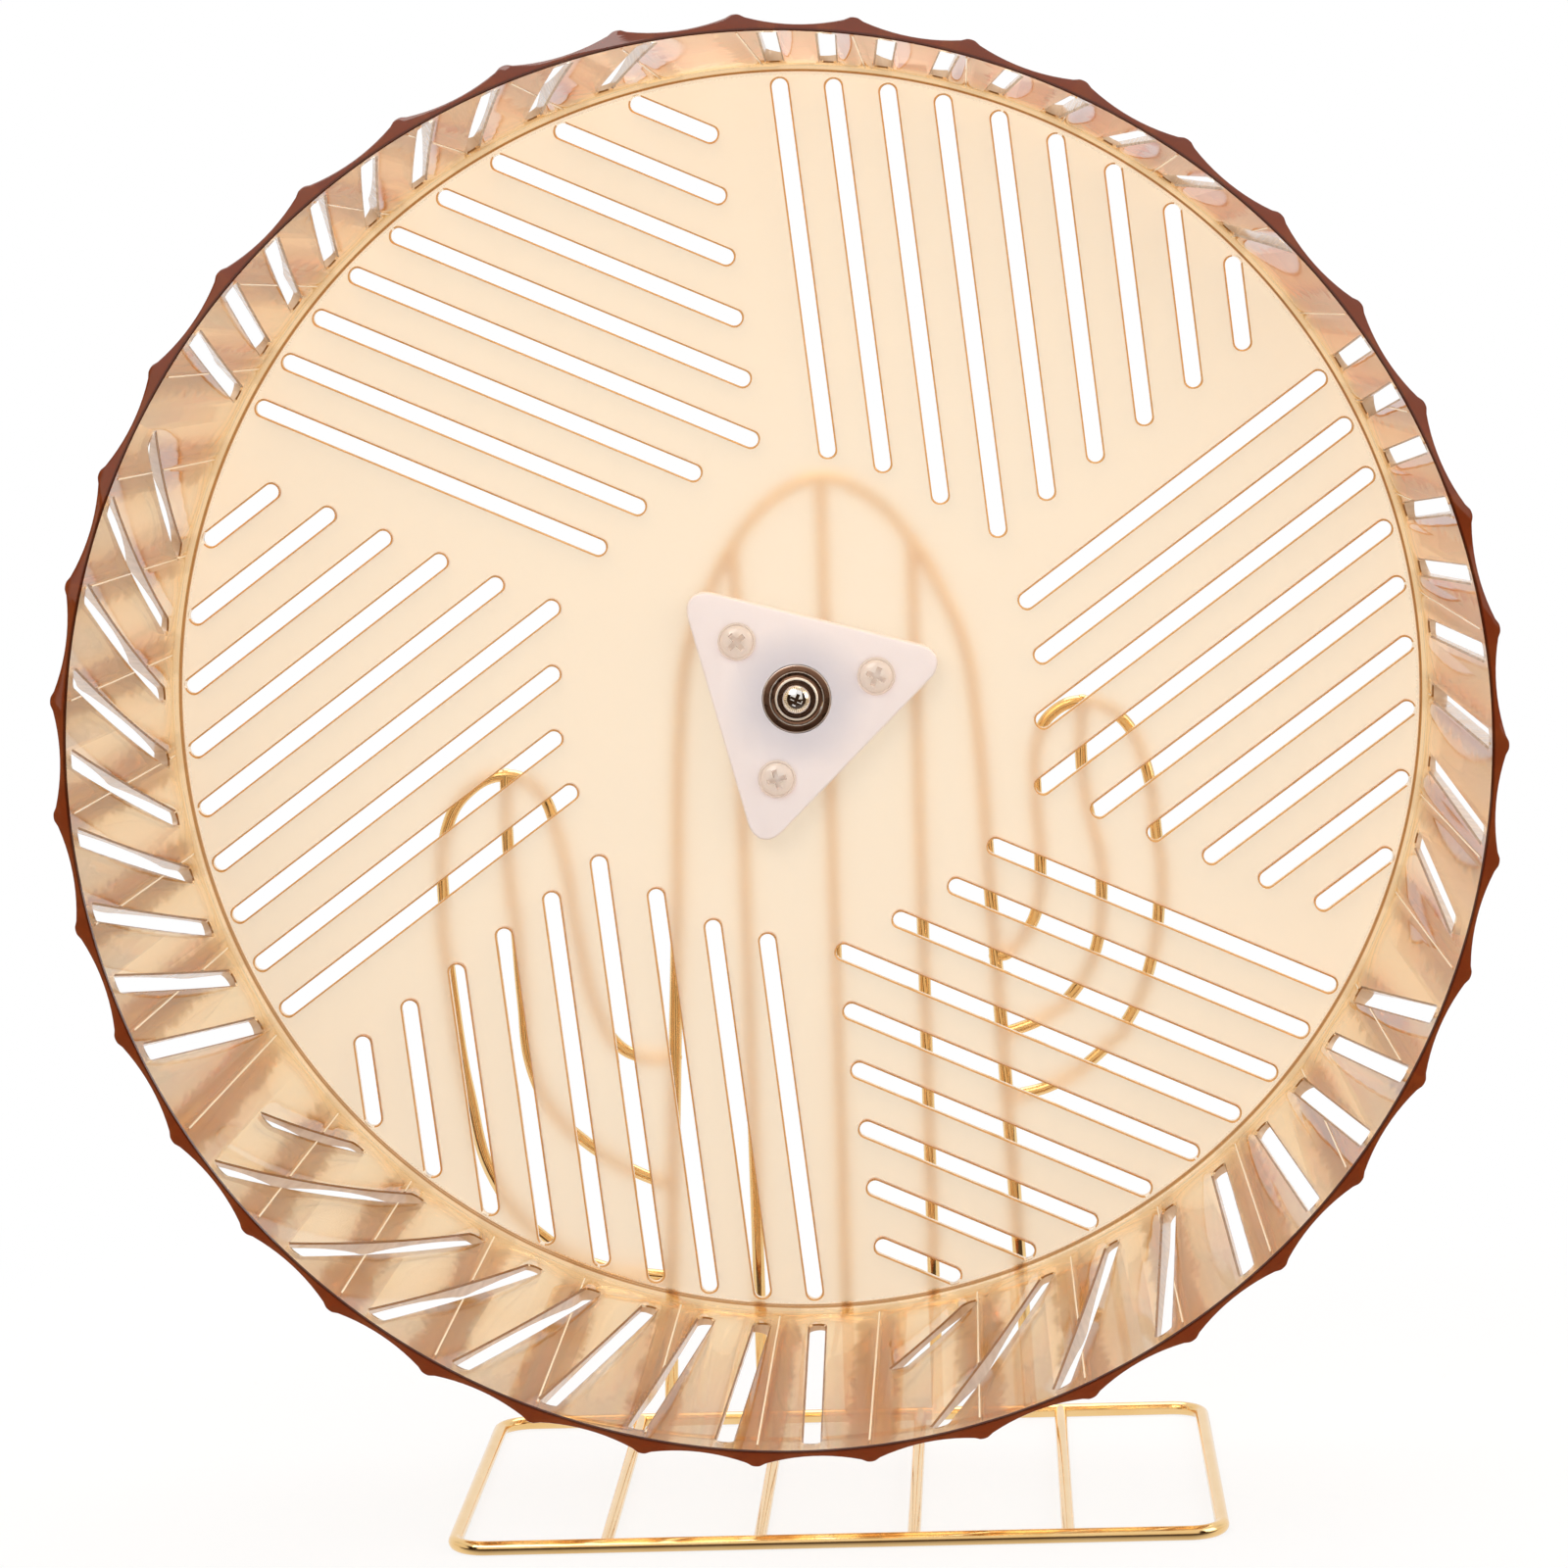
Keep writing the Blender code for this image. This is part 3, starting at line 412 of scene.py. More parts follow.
def round_axle(angle):
    """Matrix that turns things round the axle, anticlockwise seen from the front."""
    return (Matrix.Translation(AXLE) @ Matrix.Rotation(-angle, 4, "Y")
            @ Matrix.Translation(-AXLE))


line_length = DEPTH - LINE_BACK - LINE_FRONT
bpy.ops.mesh.primitive_cube_add(size=1, location=(0, 0, 0))
bpy.context.object.scale = (line_length, LINE_WIDTH, 2 * LINE_RISE)
line = started("crest_line")
edit(line)
pick("EDGE", lambda e: all(v.co.z < 0 for v in e.verts)
     and abs(e.verts[0].co.x - e.verts[1].co.x) > LINE_WIDTH)
bevel(LINE_RISE * 0.8, 2)
done()
laid_on_wall(line, -LINE_BACK - line_length / 2)
lines = [copy_of(line, f"crest_line_{n}", round_axle(FIRST_CREST + n * FLUTE_ANGLE))
         for n in range(FLUTES)]
removed(line)
cut(drum, joined(lines, "crest_lines"), "UNION")
told(drum)

# %% [markdown]
# ## The slots
# Six groups of nine parallel slots make the swirl on the floor. Each slot lies 10 mm from the
# next, and each group is the last one turned by a sixth. A slot starts as a box whose upright
# edges are bevelled into round ends. Its rim flares where it meets the surface, because the
# real slots have a small rounded edge that catches the light.

# %% A cutter for one slot
SLOT_WIDTH = 3.0 * MM
SLOT_PITCH = 10.0 * MM
FIRST_SLOT = 11.85 * MM
GROUP_SLOTS = 9
GROUPS = 6
GROUP_ANGLE = radians(95.66)
RIM = 0.3 * MM                      # width of the flare round a slot


def slot_cutter(name, length, depth, both_sides):
    """A cutter along X; its low face flares below z = 0 and its body ends at a depth."""
    top = depth - RIM if both_sides else depth
    bpy.ops.mesh.primitive_cube_add(size=1, location=(0, 0, (RIM + top) / 2),
                                    scale=(length, SLOT_WIDTH, top - RIM))
    piece = started(name)
    edit(piece)
    pick("EDGE", lambda e: abs(e.verts[0].co.z - e.verts[1].co.z) > RIM)
    bevel(SLOT_WIDTH / 2 * 0.999, 5)
    grow = RIM + OVERRUN
    for z, way in ((RIM, -1), (top, 1))[:2 if both_sides else 1]:
        pick("FACE", lambda f: all(abs(v.co.z - z) < MM / 100 for v in f.verts))
        extrude_faces(z=way * grow)
        bpy.ops.transform.resize(value=(1 + 2 * grow / length, 1 + 2 * grow / SLOT_WIDTH, 1),
                                 center_override=(0, 0, z + way * grow))
    done()
    return piece


# %% Cut the floor's slots
SLOT_OUTER = 116.6 * MM             # circle that the outer ends touch
SLOT_INNER = 45.9 * MM              # circle that the first inner ends touch
VALLEY = 25.4 * MM
VALLEY_SLOT = 3                     # the slot that reaches furthest in


def slot_reach(offset, slot):
    """Where a floor slot starts and ends along its own direction."""
    start = VALLEY + abs(slot - VALLEY_SLOT) * SLOT_PITCH * tan(radians(30))
    if slot < VALLEY_SLOT:
        start = max(start, sqrt(max(SLOT_INNER ** 2 - offset ** 2, 0)))
    return start, sqrt(SLOT_OUTER ** 2 - offset ** 2)


offsets = [FIRST_SLOT + slot * SLOT_PITCH for slot in range(GROUP_SLOTS)]
cutters = []
for slot, offset in enumerate(offsets):
    start, end = slot_reach(offset, slot)
    cutter = slot_cutter(f"floor_slot_{slot}", end - start, FLOOR, both_sides=True)
    laid(cutter, Vector((1, 0, 0)), Vector((0, 1, 0)),
         Vector(((start + end) / 2, DISC_Y, AXLE.z - offset)))
    cutter.data.transform(round_axle(GROUP_ANGLE))
    cutters.append(cutter)
cutters += [copy_of(cutter, f"{cutter.name}_{group}", round_axle(group * 2 * pi / GROUPS))
            for group in range(1, GROUPS) for cutter in cutters]
cut(drum, joined(cutters, "floor_slots"))
told(drum)

# %% [markdown]
# Each floor slot has a partner in the wall. The wall slots lean round the drum by an amount
# that changes from slot to slot, so a straight cutter is laid along the wall first and then
# twisted about the axle. The twist starts at the floor, where an empty on the axle marks it.

# %% Cut the wall's slots
WALL_SLOT_BACK = 10.0 * MM
WALL_SLOT_FRONT = 4.5 * MM
LEANS = ((-1.3, -1.6, -3.5), (-7.6, -8.0, -8.4), (-6.3, -11.8, -17.2),
         (1.0, -9.7, -22.0), (6.5, -0.2, -17.5), (3.0, 2.3, -4.0))
LAST_SHARES = (1.0, 1.0, 0.83, 0.46, 0.46, 0.86)    # of the full length, for each last slot
MEETING_CIRCLE = BACK_RADIUS * 1.0176

bpy.ops.object.empty_add(location=(0, DISC_Y, AXLE.z))
pivot = bpy.context.object
pivot.name = "twist_pivot"


def lean_of(group, slot):
    """Degrees that a wall slot leans from floor to lip, through three known slots."""
    share = slot / (GROUP_SLOTS - 1)
    first, middle, last = LEANS[group]
    return (first * (1 - share) * (1 - 2 * share) + middle * 4 * share * (1 - share)
            + last * share * (2 * share - 1))


def twist(piece, degrees):
    """Twist a piece about the axle by so many degrees over the drum's depth."""
    low = min(v.co.y for v in piece.data.vertices)
    high = max(v.co.y for v in piece.data.vertices)
    only(piece)
    modifier = piece.modifiers.new("lean", "SIMPLE_DEFORM")
    modifier.deform_method = "TWIST"
    modifier.deform_axis = "Y"
    modifier.origin = pivot
    modifier.angle = radians(degrees) * (high - low) / DEPTH
    bpy.ops.object.modifier_apply(modifier=modifier.name)


full_length = DEPTH - WALL_SLOT_BACK - WALL_SLOT_FRONT
models = {}
for share in sorted(set(LAST_SHARES)):
    length = full_length * share
    model = slot_cutter(f"wall_slot_{share}", length, CREST_WALL + OVERRUN, both_sides=False)
    edit(model)
    for step in range(1, 8):
        pick_all()
        bpy.ops.mesh.bisect(plane_co=(length * (step / 8 - 0.5), 0, 0), plane_no=(1, 0, 0))
    done()
    laid_on_wall(model, -WALL_SLOT_BACK - length / 2)
    models[share] = model
cutters = []
for group in range(GROUPS):
    for slot, offset in enumerate(offsets):
        share = LAST_SHARES[group] if slot == GROUP_SLOTS - 1 else 1.0
        angle = GROUP_ANGLE + group * 2 * pi / GROUPS - asin(offset / MEETING_CIRCLE)
        cutter = copy_of(models[share], f"wall_cut_{group}_{slot}", round_axle(angle))
        twist(cutter, lean_of(group, slot))
        cutters.append(cutter)
removed(pivot, *models.values())
cut(drum, joined(cutters, "wall_slots"))
turned_outwards(drum)
smooth_by_angle(drum, 30)
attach(drum, "wheel")
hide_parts("wheel_drum")
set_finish(drum, "amber_plastic")
told(drum)

# %% [markdown]
# ## Turned pieces
# Rings, washers and bolt heads are turned on a lathe. The same shape comes from a circle that
# is extruded along the axle and scaled after every step, one step for each corner of the
# profile. A ring's profile ends where it began, and merging doubles closes it.

# %% A helper for turned pieces
def turned(name, profile, sides=72, ring=True):
    """Turn a profile of (radius, distance behind the floor's front) in millimetres."""
    radius, y = profile[0]
    bpy.ops.mesh.primitive_circle_add(vertices=sides, radius=radius * MM,
                                      fill_type="NOTHING" if ring else "NGON",
                                      location=(0, DISC_Y + y * MM, AXLE.z),
                                      rotation=(pi / 2, 0, 0))
    piece = started(name)
    edit(piece)
    pick_all()
    for next_radius, next_y in profile[1:] + (profile[:1] if ring else []):
        shift = (0, (next_y - y) * MM, 0)
        bpy.ops.mesh.extrude_edges_move(TRANSFORM_OT_translate={"value": shift})
        factor = next_radius / radius
        scale_about(factor, factor, (0, DISC_Y + next_y * MM, AXLE.z))
        radius, y = next_radius, next_y
    if not ring:
        bpy.ops.mesh.edge_face_add()
    done()
    turned_outwards(piece)
    smooth_by_angle(piece, 40)
    return piece


def dome(radius, back, height, steps=8):
    """Profile of a low dome from near its middle to its rim."""
    edge = 0.25
    points = []
    for step in range(steps + 1):
        angle = max(step, 0.1) * pi / 2 / steps
        points.append((radius * sin(angle), back - height * (edge + (1 - edge) * cos(angle))))
    return points + [(radius, back)]


def belongs(piece, body, slot, *nodes):
    """Let a piece ride on its body, stand for its CAD nodes and have its slot."""
    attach(piece, body)
    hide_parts(*nodes)
    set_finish(piece, slot)
    told(piece)


# %% [markdown]
# ## Hub plate
# A three-cornered plate of milky plastic clamps the bearing. It starts as a circle of three
# points, its corners are bevelled as vertices, and it is extruded to 3 mm.

# %% Model the hub plate
PLATE_INRADIUS = 15.6 * MM
PLATE_CORNER = 4.0 * MM
PLATE_EDGE = 0.5 * MM               # rounding of its front edge
PLATE_FRONT = DISC_Y - 3.3 * MM
PLATE_BACK = DISC_Y - 0.3 * MM

bpy.ops.mesh.primitive_circle_add(vertices=3, radius=2 * PLATE_INRADIUS, fill_type="NGON",
                                  location=(0, PLATE_BACK, AXLE.z),
                                  rotation=(pi / 2, pi / 2 - SCREW_ANGLE, 0))
plate = started("hub_plate_moulding")
edit(plate)
pick_all()
bevel(PLATE_CORNER / tan(radians(30)), 12, "VERTICES")
pick_all()
extrude_faces(y=PLATE_FRONT - PLATE_BACK)
pick_all()
bpy.ops.mesh.normals_make_consistent(inside=False)
pick_at("EDGE", PLATE_FRONT)
bevel(PLATE_EDGE, 4)
done()
front, back = PLATE_FRONT - OVERRUN, PLATE_BACK + OVERRUN
cut(plate, rod("plate_seat", SEAT_RADIUS, front, back, AXLE, 96))
for n, place in enumerate(screw_places):
    cut(plate, rod(f"plate_hole_{n}", PILOT_RADIUS, front, back, place, 32))
turned_outwards(plate)
smooth_by_angle(plate, 30)
belongs(plate, "wheel", "milky_plastic", "hub_plate")

# %% [markdown]
# ## Hub screws
# Three clear plastic screws with low domed heads hold the plate. One is modelled and copied.
# The driver's cross is cut with two crossing bars, and it is turned differently in each,
# because screws never stop at the same angle.

# %% Model the hub screws
HEAD_RADIUS, HEAD_HEIGHT, HEAD_BACK = 3.6, 1.8, -3.4
SHANK_RADIUS, SHANK_END = 1.4, 5.1
RECESS_TURNS = (25, 50, 75)


def cross_cut(piece, place, front, span, width, depth, degrees):
    """Cut a cross recess whose arms taper towards its bottom."""
    for bar in range(2):
        bpy.ops.mesh.primitive_cube_add(size=1, location=(0, 0, 0),
                                        scale=(span * MM, 2 * depth * MM, width * MM))
        cutter = started("recess_bar")
        edit(cutter)
        pick("FACE", lambda f: f.normal.y > 0.5)
        scale_about(0.72, 0.7, (0, depth * MM, 0))
        done()
        cutter.data.transform(Matrix.Translation((place.x, DISC_Y + front * MM, place.z))
                              @ Matrix.Rotation(radians(degrees + 90 * bar), 4, "Y"))
        cut(piece, cutter)
    smooth_by_angle(piece, 30)


profile = dome(HEAD_RADIUS - 0.45, HEAD_BACK - 0.35, HEAD_HEIGHT - 0.35)
profile += [(HEAD_RADIUS - 0.35, HEAD_BACK - 0.5), (HEAD_RADIUS - 0.1, HEAD_BACK - 0.5),
            (HEAD_RADIUS, HEAD_BACK - 0.4), (HEAD_RADIUS, HEAD_BACK)]
profile += [(SHANK_RADIUS, HEAD_BACK), (SHANK_RADIUS, SHANK_END - 1), (SHANK_RADIUS / 2, SHANK_END)]
screw = turned("hub_screw_model", profile, sides=48, ring=False)
for n, place in enumerate(screw_places):
    shift = Matrix.Translation(place - Vector((0, 0, AXLE.z)))
    twin = copy_of(screw, f"hub_screw_moulding_{n + 1}", shift)
    cross_cut(twin, place, HEAD_BACK - HEAD_HEIGHT, 4.6, 1.2, 1.0, RECESS_TURNS[n])
    belongs(twin, "wheel", "clear_plastic", f"hub_screw_{n + 1}")
removed(screw)

# %% [markdown]
# ## Ball bearing and axle
# The wheel runs on a shielded miniature ball bearing, 4 mm bore, 13 mm outside, 5 mm wide. Its
# outer ring and shields turn with the wheel. The inner ring, the washer and the domed bolt
# stand still. The shields are pressed sheet with a step, so that they read as rings of light.

# %% Model the bearing and the axle
ring = [(5.0, -3.2), (5.1, -3.3), (6.2, -3.3), (6.35, -3.25), (6.5, -3.05), (6.5, 1.45),
        (6.42, 1.63), (6.25, 1.7), (5.0, 1.7), (5.0, 0.2), (5.32, -0.2), (5.35, -0.8),
        (5.32, -1.4), (5.0, -1.8)]
front_shield = [(3.62, -2.80), (3.62, -2.96), (3.75, -3.0), (4.15, -3.0), (4.3, -2.93),
                (4.65, -2.93), (4.8, -3.0), (4.88, -3.0), (4.88, -2.75), (3.7, -2.75)]
rear_shield = [(radius, -1.6 - y) for radius, y in front_shield]
washer = [(2.0, -3.4), (2.0, -3.8), (3.6, -3.8), (3.68, -3.9), (3.85, -3.9), (4.1, -3.65),
          (4.1, -3.4)]
spacer = [(2.0, 1.8), (3.1, 1.8), (3.3, 2.0), (3.3, 15.7), (3.1, 15.9), (2.0, 15.9)]
sleeve = [(2.0, 16.0), (3.2, 16.0), (3.5, 16.3), (3.5, 23.7), (3.2, 24.0), (2.0, 24.0)]
for node, ending, body, slot, profile, sides in (
        ("bearing_outer_ring", "ground", "wheel", "dark_steel", ring, 96),
        ("bearing_front_shield", "pressed", "wheel", "dark_steel", front_shield, 96),
        ("bearing_rear_shield", "pressed", "wheel", "dark_steel", rear_shield, 96),
        ("axle_washer", "turned", "stand", "chrome_steel", washer, 96),
        ("axle_spacer", "turned", "stand", "bright_steel", spacer, 72),
        ("axle_sleeve", "turned", "stand", "gold_wire", sleeve, 72)):
    belongs(turned(f"{node}_{ending}", profile, sides), body, slot, node)

profile = dome(2.75, -4.0, 2.0, steps=12) + [(1.9, -4.0), (1.9, 28.1), (1.5, 28.5)]
bolt = turned("axle_bolt_domed", profile, ring=False)
cross_cut(bolt, AXLE, -6.0, 2.9, 0.8, 0.9, 25)
belongs(bolt, "stand", "chrome_steel", "axle_bolt")

# %% [markdown]
# The nut is a cylinder of six sides. Real nuts have their corners turned off at 30 degrees, so
# the block is crossed with a turned crown that is coned at both ends.

# %% Model the nut
NUT_FRONT, NUT_BACK, NUT_FLATS = 24.1, 27.3, 7.0

front, back = DISC_Y + NUT_FRONT * MM, DISC_Y + NUT_BACK * MM
corner = NUT_FLATS / 2 / cos(pi / 6)
nut = rod("axle_nut_hexagon", corner * MM, front, back, AXLE, 6)
flat = NUT_FLATS / 2 - 0.05
drop = (corner + 0.1 - flat) * tan(radians(30))
crown = [(flat, NUT_FRONT - 0.001), (corner + 0.1, NUT_FRONT + drop),
         (corner + 0.1, NUT_BACK - drop), (flat, NUT_BACK + 0.001)]
cut(nut, turned("nut_crown", crown, ring=False), "INTERSECT")
cut(nut, rod("nut_hole", 2.0 * MM, front - OVERRUN, back + OVERRUN, AXLE, 48))
turned_outwards(nut)
smooth_by_angle(nut, 30)
belongs(nut, "stand", "bright_steel", "axle_nut")

# %% [markdown]
# ## Gold wire stand
# Every wire is one round section along one line. The line is a chain of points, extruded one
# after another. A bent one becomes a Bezier curve, whose handles smooth the bends. The curve is
# given its thickness and turned back into a mesh.

# %% A helper for wires
FRAME_WIRE = 1.3 * MM               # radius of the outer wires
INNER_WIRE = 1.2 * MM               # radius of the wires within them
BASE_Z = FRAME_WIRE
STAND_X = 5.0 * MM
STAND_Y = DISC_Y + 20 * MM          # plane of the trunk and the arms


def thickened(piece, radius, steps, node):
    """Turn a chain of edges into a round wire of the stand."""
    only(piece)
    bpy.ops.object.convert(target="CURVE")
    if steps > 1:
        bpy.ops.object.mode_set(mode="EDIT")
        bpy.ops.curve.select_all(action="SELECT")
        bpy.ops.curve.spline_type_set(type="BEZIER")
        bpy.ops.curve.handle_type_set(type="AUTOMATIC")
        done()
    line = bpy.context.object.data
    line.resolution_u = steps
    line.bevel_depth = radius
    line.bevel_resolution = 6
    line.use_fill_caps = True
    bpy.ops.object.convert(target="MESH")
    wire = bpy.context.object
    turned_outwards(wire)
    smooth_by_angle(wire, 60)
    belongs(wire, "stand", "gold_wire", node)


def wire_along(name, points, radius, node, steps=1):
    """A wire through points, extruded one after another."""
    bpy.ops.mesh.primitive_circle_add(vertices=3, radius=MM, location=points[0])
    chain = started(name)
    edit(chain)
    bpy.ops.mesh.select_mode(type="VERT")
    pick_all()
    bpy.ops.mesh.merge(type="CENTER")
    for before, point in zip(points, points[1:]):
        bpy.ops.mesh.extrude_region_move(TRANSFORM_OT_translate={"value": point - before})
    done()
    thickened(chain, radius, steps, node)


# %% [markdown]
# The base is a rectangle whose corners are bevelled as vertices. Straight cross wires run
# between its front and back rods.

# %% Model the base
BASE_WIDTH = 137.8 * MM
BASE_LENGTH = 93 * MM
BASE_CORNER = 6 * MM

base_front = STAND_Y - BASE_LENGTH
bpy.ops.mesh.primitive_plane_add(size=1, location=(STAND_X, STAND_Y - BASE_LENGTH / 2, BASE_Z))
bpy.context.object.scale = (BASE_WIDTH, BASE_LENGTH, 1)
base = started("base_loop_wire")
edit(base)
pick_all()
bpy.ops.mesh.delete(type="ONLY_FACE")
pick_all()
bevel(BASE_CORNER, 12, "VERTICES")
done()
thickened(base, FRAME_WIRE, 1, "base_loop")
cross_x = [STAND_X - BASE_WIDTH / 2 + n * BASE_WIDTH / 5 for n in range(1, 5)]
for n, x in enumerate(cross_x, 1):
    ends = [Vector((x, base_front, BASE_Z)), Vector((x, STAND_Y, BASE_Z))]
    wire_along(f"base_cross_{n}", ends, INNER_WIRE, f"base_cross_wire_{n}")

# %% [markdown]
# The trunk is an arch with three upright wires in it, and an arm is welded to each leg. The
# bends were read off the photograph as shares of the arch's own width and height.

# %% Model the trunk
TRUNK_FOOT = 35.5 * MM              # half the arch's width on the ground
TRUNK_HEIGHT = 185 * MM
TRUNK = ((0.000, 1.000), (0.245, 0.982), (0.460, 0.940), (0.630, 0.883), (0.758, 0.820),
         (0.815, 0.735), (0.860, 0.560), (0.912, 0.370), (0.960, 0.180), (1.000, 0.000))
INNER_X = 17.2 * MM                 # the outer two of the three upright wires


def upright(x, height):
    return Vector((STAND_X + x, STAND_Y, BASE_Z + height))


def read_off(rows, value):
    """What stands beside a value, on straight lines through rows of pairs."""
    for (x0, y0), (x1, y1) in zip(rows, rows[1:]):
        if x0 <= value <= x1:
            return y0 + (y1 - y0) * (value - x0) / (x1 - x0)


def height_of_arch(x):
    return TRUNK_HEIGHT * read_off(TRUNK, abs(x) / TRUNK_FOOT)


def leg_at(side, height):
    """The point of a leg at a height."""
    share = read_off([(h, x) for x, h in TRUNK[::-1]], height / TRUNK_HEIGHT)
    return upright(side * TRUNK_FOOT * share, height)


sides = [[upright(side * x * TRUNK_FOOT, h * TRUNK_HEIGHT) for x, h in TRUNK] for side in (-1, 1)]
arch = sides[0][::-1] + sides[1][1:]
wire_along("trunk_arch_wire", arch, FRAME_WIRE, "trunk_arch", steps=14)
welds = [upright(side * TRUNK_FOOT, 0) for side in (-1, 1)]
for name, x in (("left", -INNER_X), ("centre", 0.0), ("right", INNER_X)):
    ends = [upright(x, height_of_arch(x)), upright(x, 0)]
    welds += ends
    wire_along(f"trunk_{name}_rod", ends, INNER_WIRE, f"trunk_{name}_wire")

# %% Model the arms
ARMS = {
    "left": {
        "side": -1, "reach": 40.9 * MM, "top": 129 * MM, "welds": (0.562, 0.222), "middle": 0.362,
        "loop": ((0.066, 0.563), (0.189, 0.583), (0.281, 0.638), (0.361, 0.755), (0.445, 0.915),
                 (0.537, 0.980), (0.679, 1.000), (0.864, 0.976), (0.974, 0.918), (1.000, 0.800),
                 (0.974, 0.661), (0.914, 0.513), (0.806, 0.377), (0.580, 0.288), (0.309, 0.241)),
        "rod": ((0.679, 1.000), (0.681, 0.894), (0.658, 0.778), (0.639, 0.653), (0.610, 0.552),
                (0.518, 0.486), (0.372, 0.437), (0.163, 0.393)),
    },
    "right": {
        "side": 1, "reach": 27.8 * MM, "top": 140.2 * MM, "welds": (0.648, 0.448), "middle": 0.537,
        "loop": ((-0.070, 0.651), (0.050, 0.676), (0.144, 0.712), (0.176, 0.776), (0.158, 0.868),
                 (0.180, 0.947), (0.283, 0.984), (0.499, 1.000), (0.750, 0.979), (0.909, 0.922),
                 (0.986, 0.826), (1.000, 0.719), (0.929, 0.633), (0.786, 0.562), (0.540, 0.505),
                 (0.228, 0.465)),
        "rod": ((0.499, 1.000), (0.481, 0.925), (0.515, 0.854), (0.588, 0.783), (0.595, 0.719),
                (0.538, 0.648), (0.397, 0.598), (0.194, 0.562)),
    },
}


def bend(arm, x, h):
    """One bend of an arm, whose places are shares of its reach and its top."""
    return upright(arm["side"] * (TRUNK_FOOT + x * arm["reach"]), h * arm["top"])


for name, arm in ARMS.items():
    ends = [leg_at(arm["side"], share * arm["top"]) for share in arm["welds"]]
    foot = leg_at(arm["side"], arm["middle"] * arm["top"])
    loop = [ends[0]] + [bend(arm, x, h) for x, h in arm["loop"]] + [ends[1]]
    middle = [bend(arm, x, h) for x, h in arm["rod"]] + [foot]
    wire_along(f"{name}_arm_wire", loop, INNER_WIRE, f"{name}_arm_loop", steps=8)
    wire_along(f"{name}_arm_rod", middle, INNER_WIRE, f"{name}_arm_middle_wire", steps=8)
    welds += ends + [middle[0], foot]

# %% [markdown]
# Where two wires meet they are spot welded and then plated over, which leaves a small smooth
# swelling. One ball is modelled, flattened and copied to every weld.

# %% Model the welds
WELD_RADIUS = 1.4 * MM

bpy.ops.mesh.primitive_uv_sphere_add(segments=20, ring_count=12, radius=WELD_RADIUS,
                                     location=(0, 0, 0), scale=(1, 0.82, 1))
ball = started("weld_model")
for x in cross_x:
    welds += [Vector((x, y, BASE_Z)) for y in (base_front, STAND_Y)]
nuggets = []
for n, place in enumerate(welds):
    shape = Matrix.Diagonal((1, 1, 0.8, 1)) if place.z < 2 * MM else Matrix()   # low on the base
    nuggets.append(copy_of(ball, f"weld_{n}", Matrix.Translation(place) @ shape))
removed(ball)
nuggets = joined(nuggets, "stand_welds")
smooth_by_angle(nuggets, 60)
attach(nuggets, "stand")
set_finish(nuggets, "gold_wire")
told(nuggets)

# %% [markdown]
# ## Materials
# Each finish starts from the real stuff. Colours are hex values as a screen shows them, turned
# into the linear values that the renderer works with. One function adds every node, in the tree
# of the material that was begun last.

# %% Helpers for materials
MODES = {"Math": "operation", "VectorMath": "operation", "Mix": "data_type",
         "MapRange": "interpolation_type"}
SMOOTH = "MapRange SMOOTHSTEP"      # value, low, high, and what they become if not 0 and 1


def colour(code):
    """An sRGB hex colour as linear RGBA."""
    channels = [int(code[i:i + 2], 16) / 255 for i in (1, 3, 5)]
    return (*[c / 12.92 if c <= 0.04045 else ((c + 0.055) / 1.055) ** 2.4 for c in channels], 1)


def add(kind, *values, **named):
    """Add a node, set its mode and fill its inputs, in order or by name.

    A value is a number, a hex colour, a socket, or a node that stands for its first output.
    """
    kind, _, mode = kind.partition(" ")
    node = tree.nodes.new("ShaderNode" + kind)
    if mode:
        setattr(node, MODES[kind], mode)
    inputs = list(zip([socket for socket in node.inputs if socket.enabled], values))
    inputs += [(node.inputs[name.replace("_", " ")], value) for name, value in named.items()]
    for socket, value in inputs:
        if isinstance(value, bpy.types.Node):
            value = next(output for output in value.outputs if output.enabled)
        if isinstance(value, bpy.types.NodeSocket):
            tree.links.new(value, socket)
        else:
            socket.default_value = colour(value) if isinstance(value, str) else value
    return node


def material(name):
    """Begin a node material. The nodes that follow go into its tree."""
    global tree
    made = bpy.data.materials.new(name)
    made.use_nodes = True
    tree = made.node_tree
    tree.nodes.clear()
    return made


def from_axle():
    """A place on the piece, its distance from the axle's line and its depth along it."""
    place = add("TexCoord").outputs["Object"]
    shifted = add("VectorMath ADD", place, (0, 0, -AXLE.z))
    across = add("VectorMath MULTIPLY", shifted, (1, 0, 1))
    return place, add("VectorMath LENGTH", across), add("SeparateXYZ", place).outputs["Y"]


def lets_lamps_through(shader, tint):
    """Clear plastic that lets the lamps shine through without caustics."""
    clear = add("BsdfTransparent", tint)
    return add("MixShader", add("LightPath").outputs["Is Shadow Ray"], shader, clear)


def wear(piece, finish):
    """Give a piece one material."""
    piece.data.materials.clear()
    piece.data.materials.append(finish)


# %% [markdown]
# ### Amber plastic
# The drum is moulded from clear styrene plastic that is dyed amber all through. The dye takes
# blue first and green next, so a thin wall looks peach. That comes from an absorbing volume.
# The mould was polished for the wall, which is glossy, and spark-eroded for the floor, which is
# satin: it scatters a fifth of the light and blurs the stand behind it.
#
# Some of what the eye sees is painted into the surface colour. Near each crest the flutes bend the
# light away, so a darker band of painted shade lies there. The line on each crest gets a painted
# highlight and the seam round the floor a brown line of painted shade. Near the floor the wall gets
# a painted orange glow, light gathered near the fillet. The end face is painted reddish brown, as
# light that has travelled all along the wall before it leaves there. Half of the light passes
# straight through the wall, because full refraction would leave it grey.

# %% Find where a place lies on the drum
SEAM_RADIUS = BACK_RADIUS - CORNER_ROUNDING + 0.1 * MM
EDGE_BLUR = 0.06 * MM               # how softly a crest line's tint ends

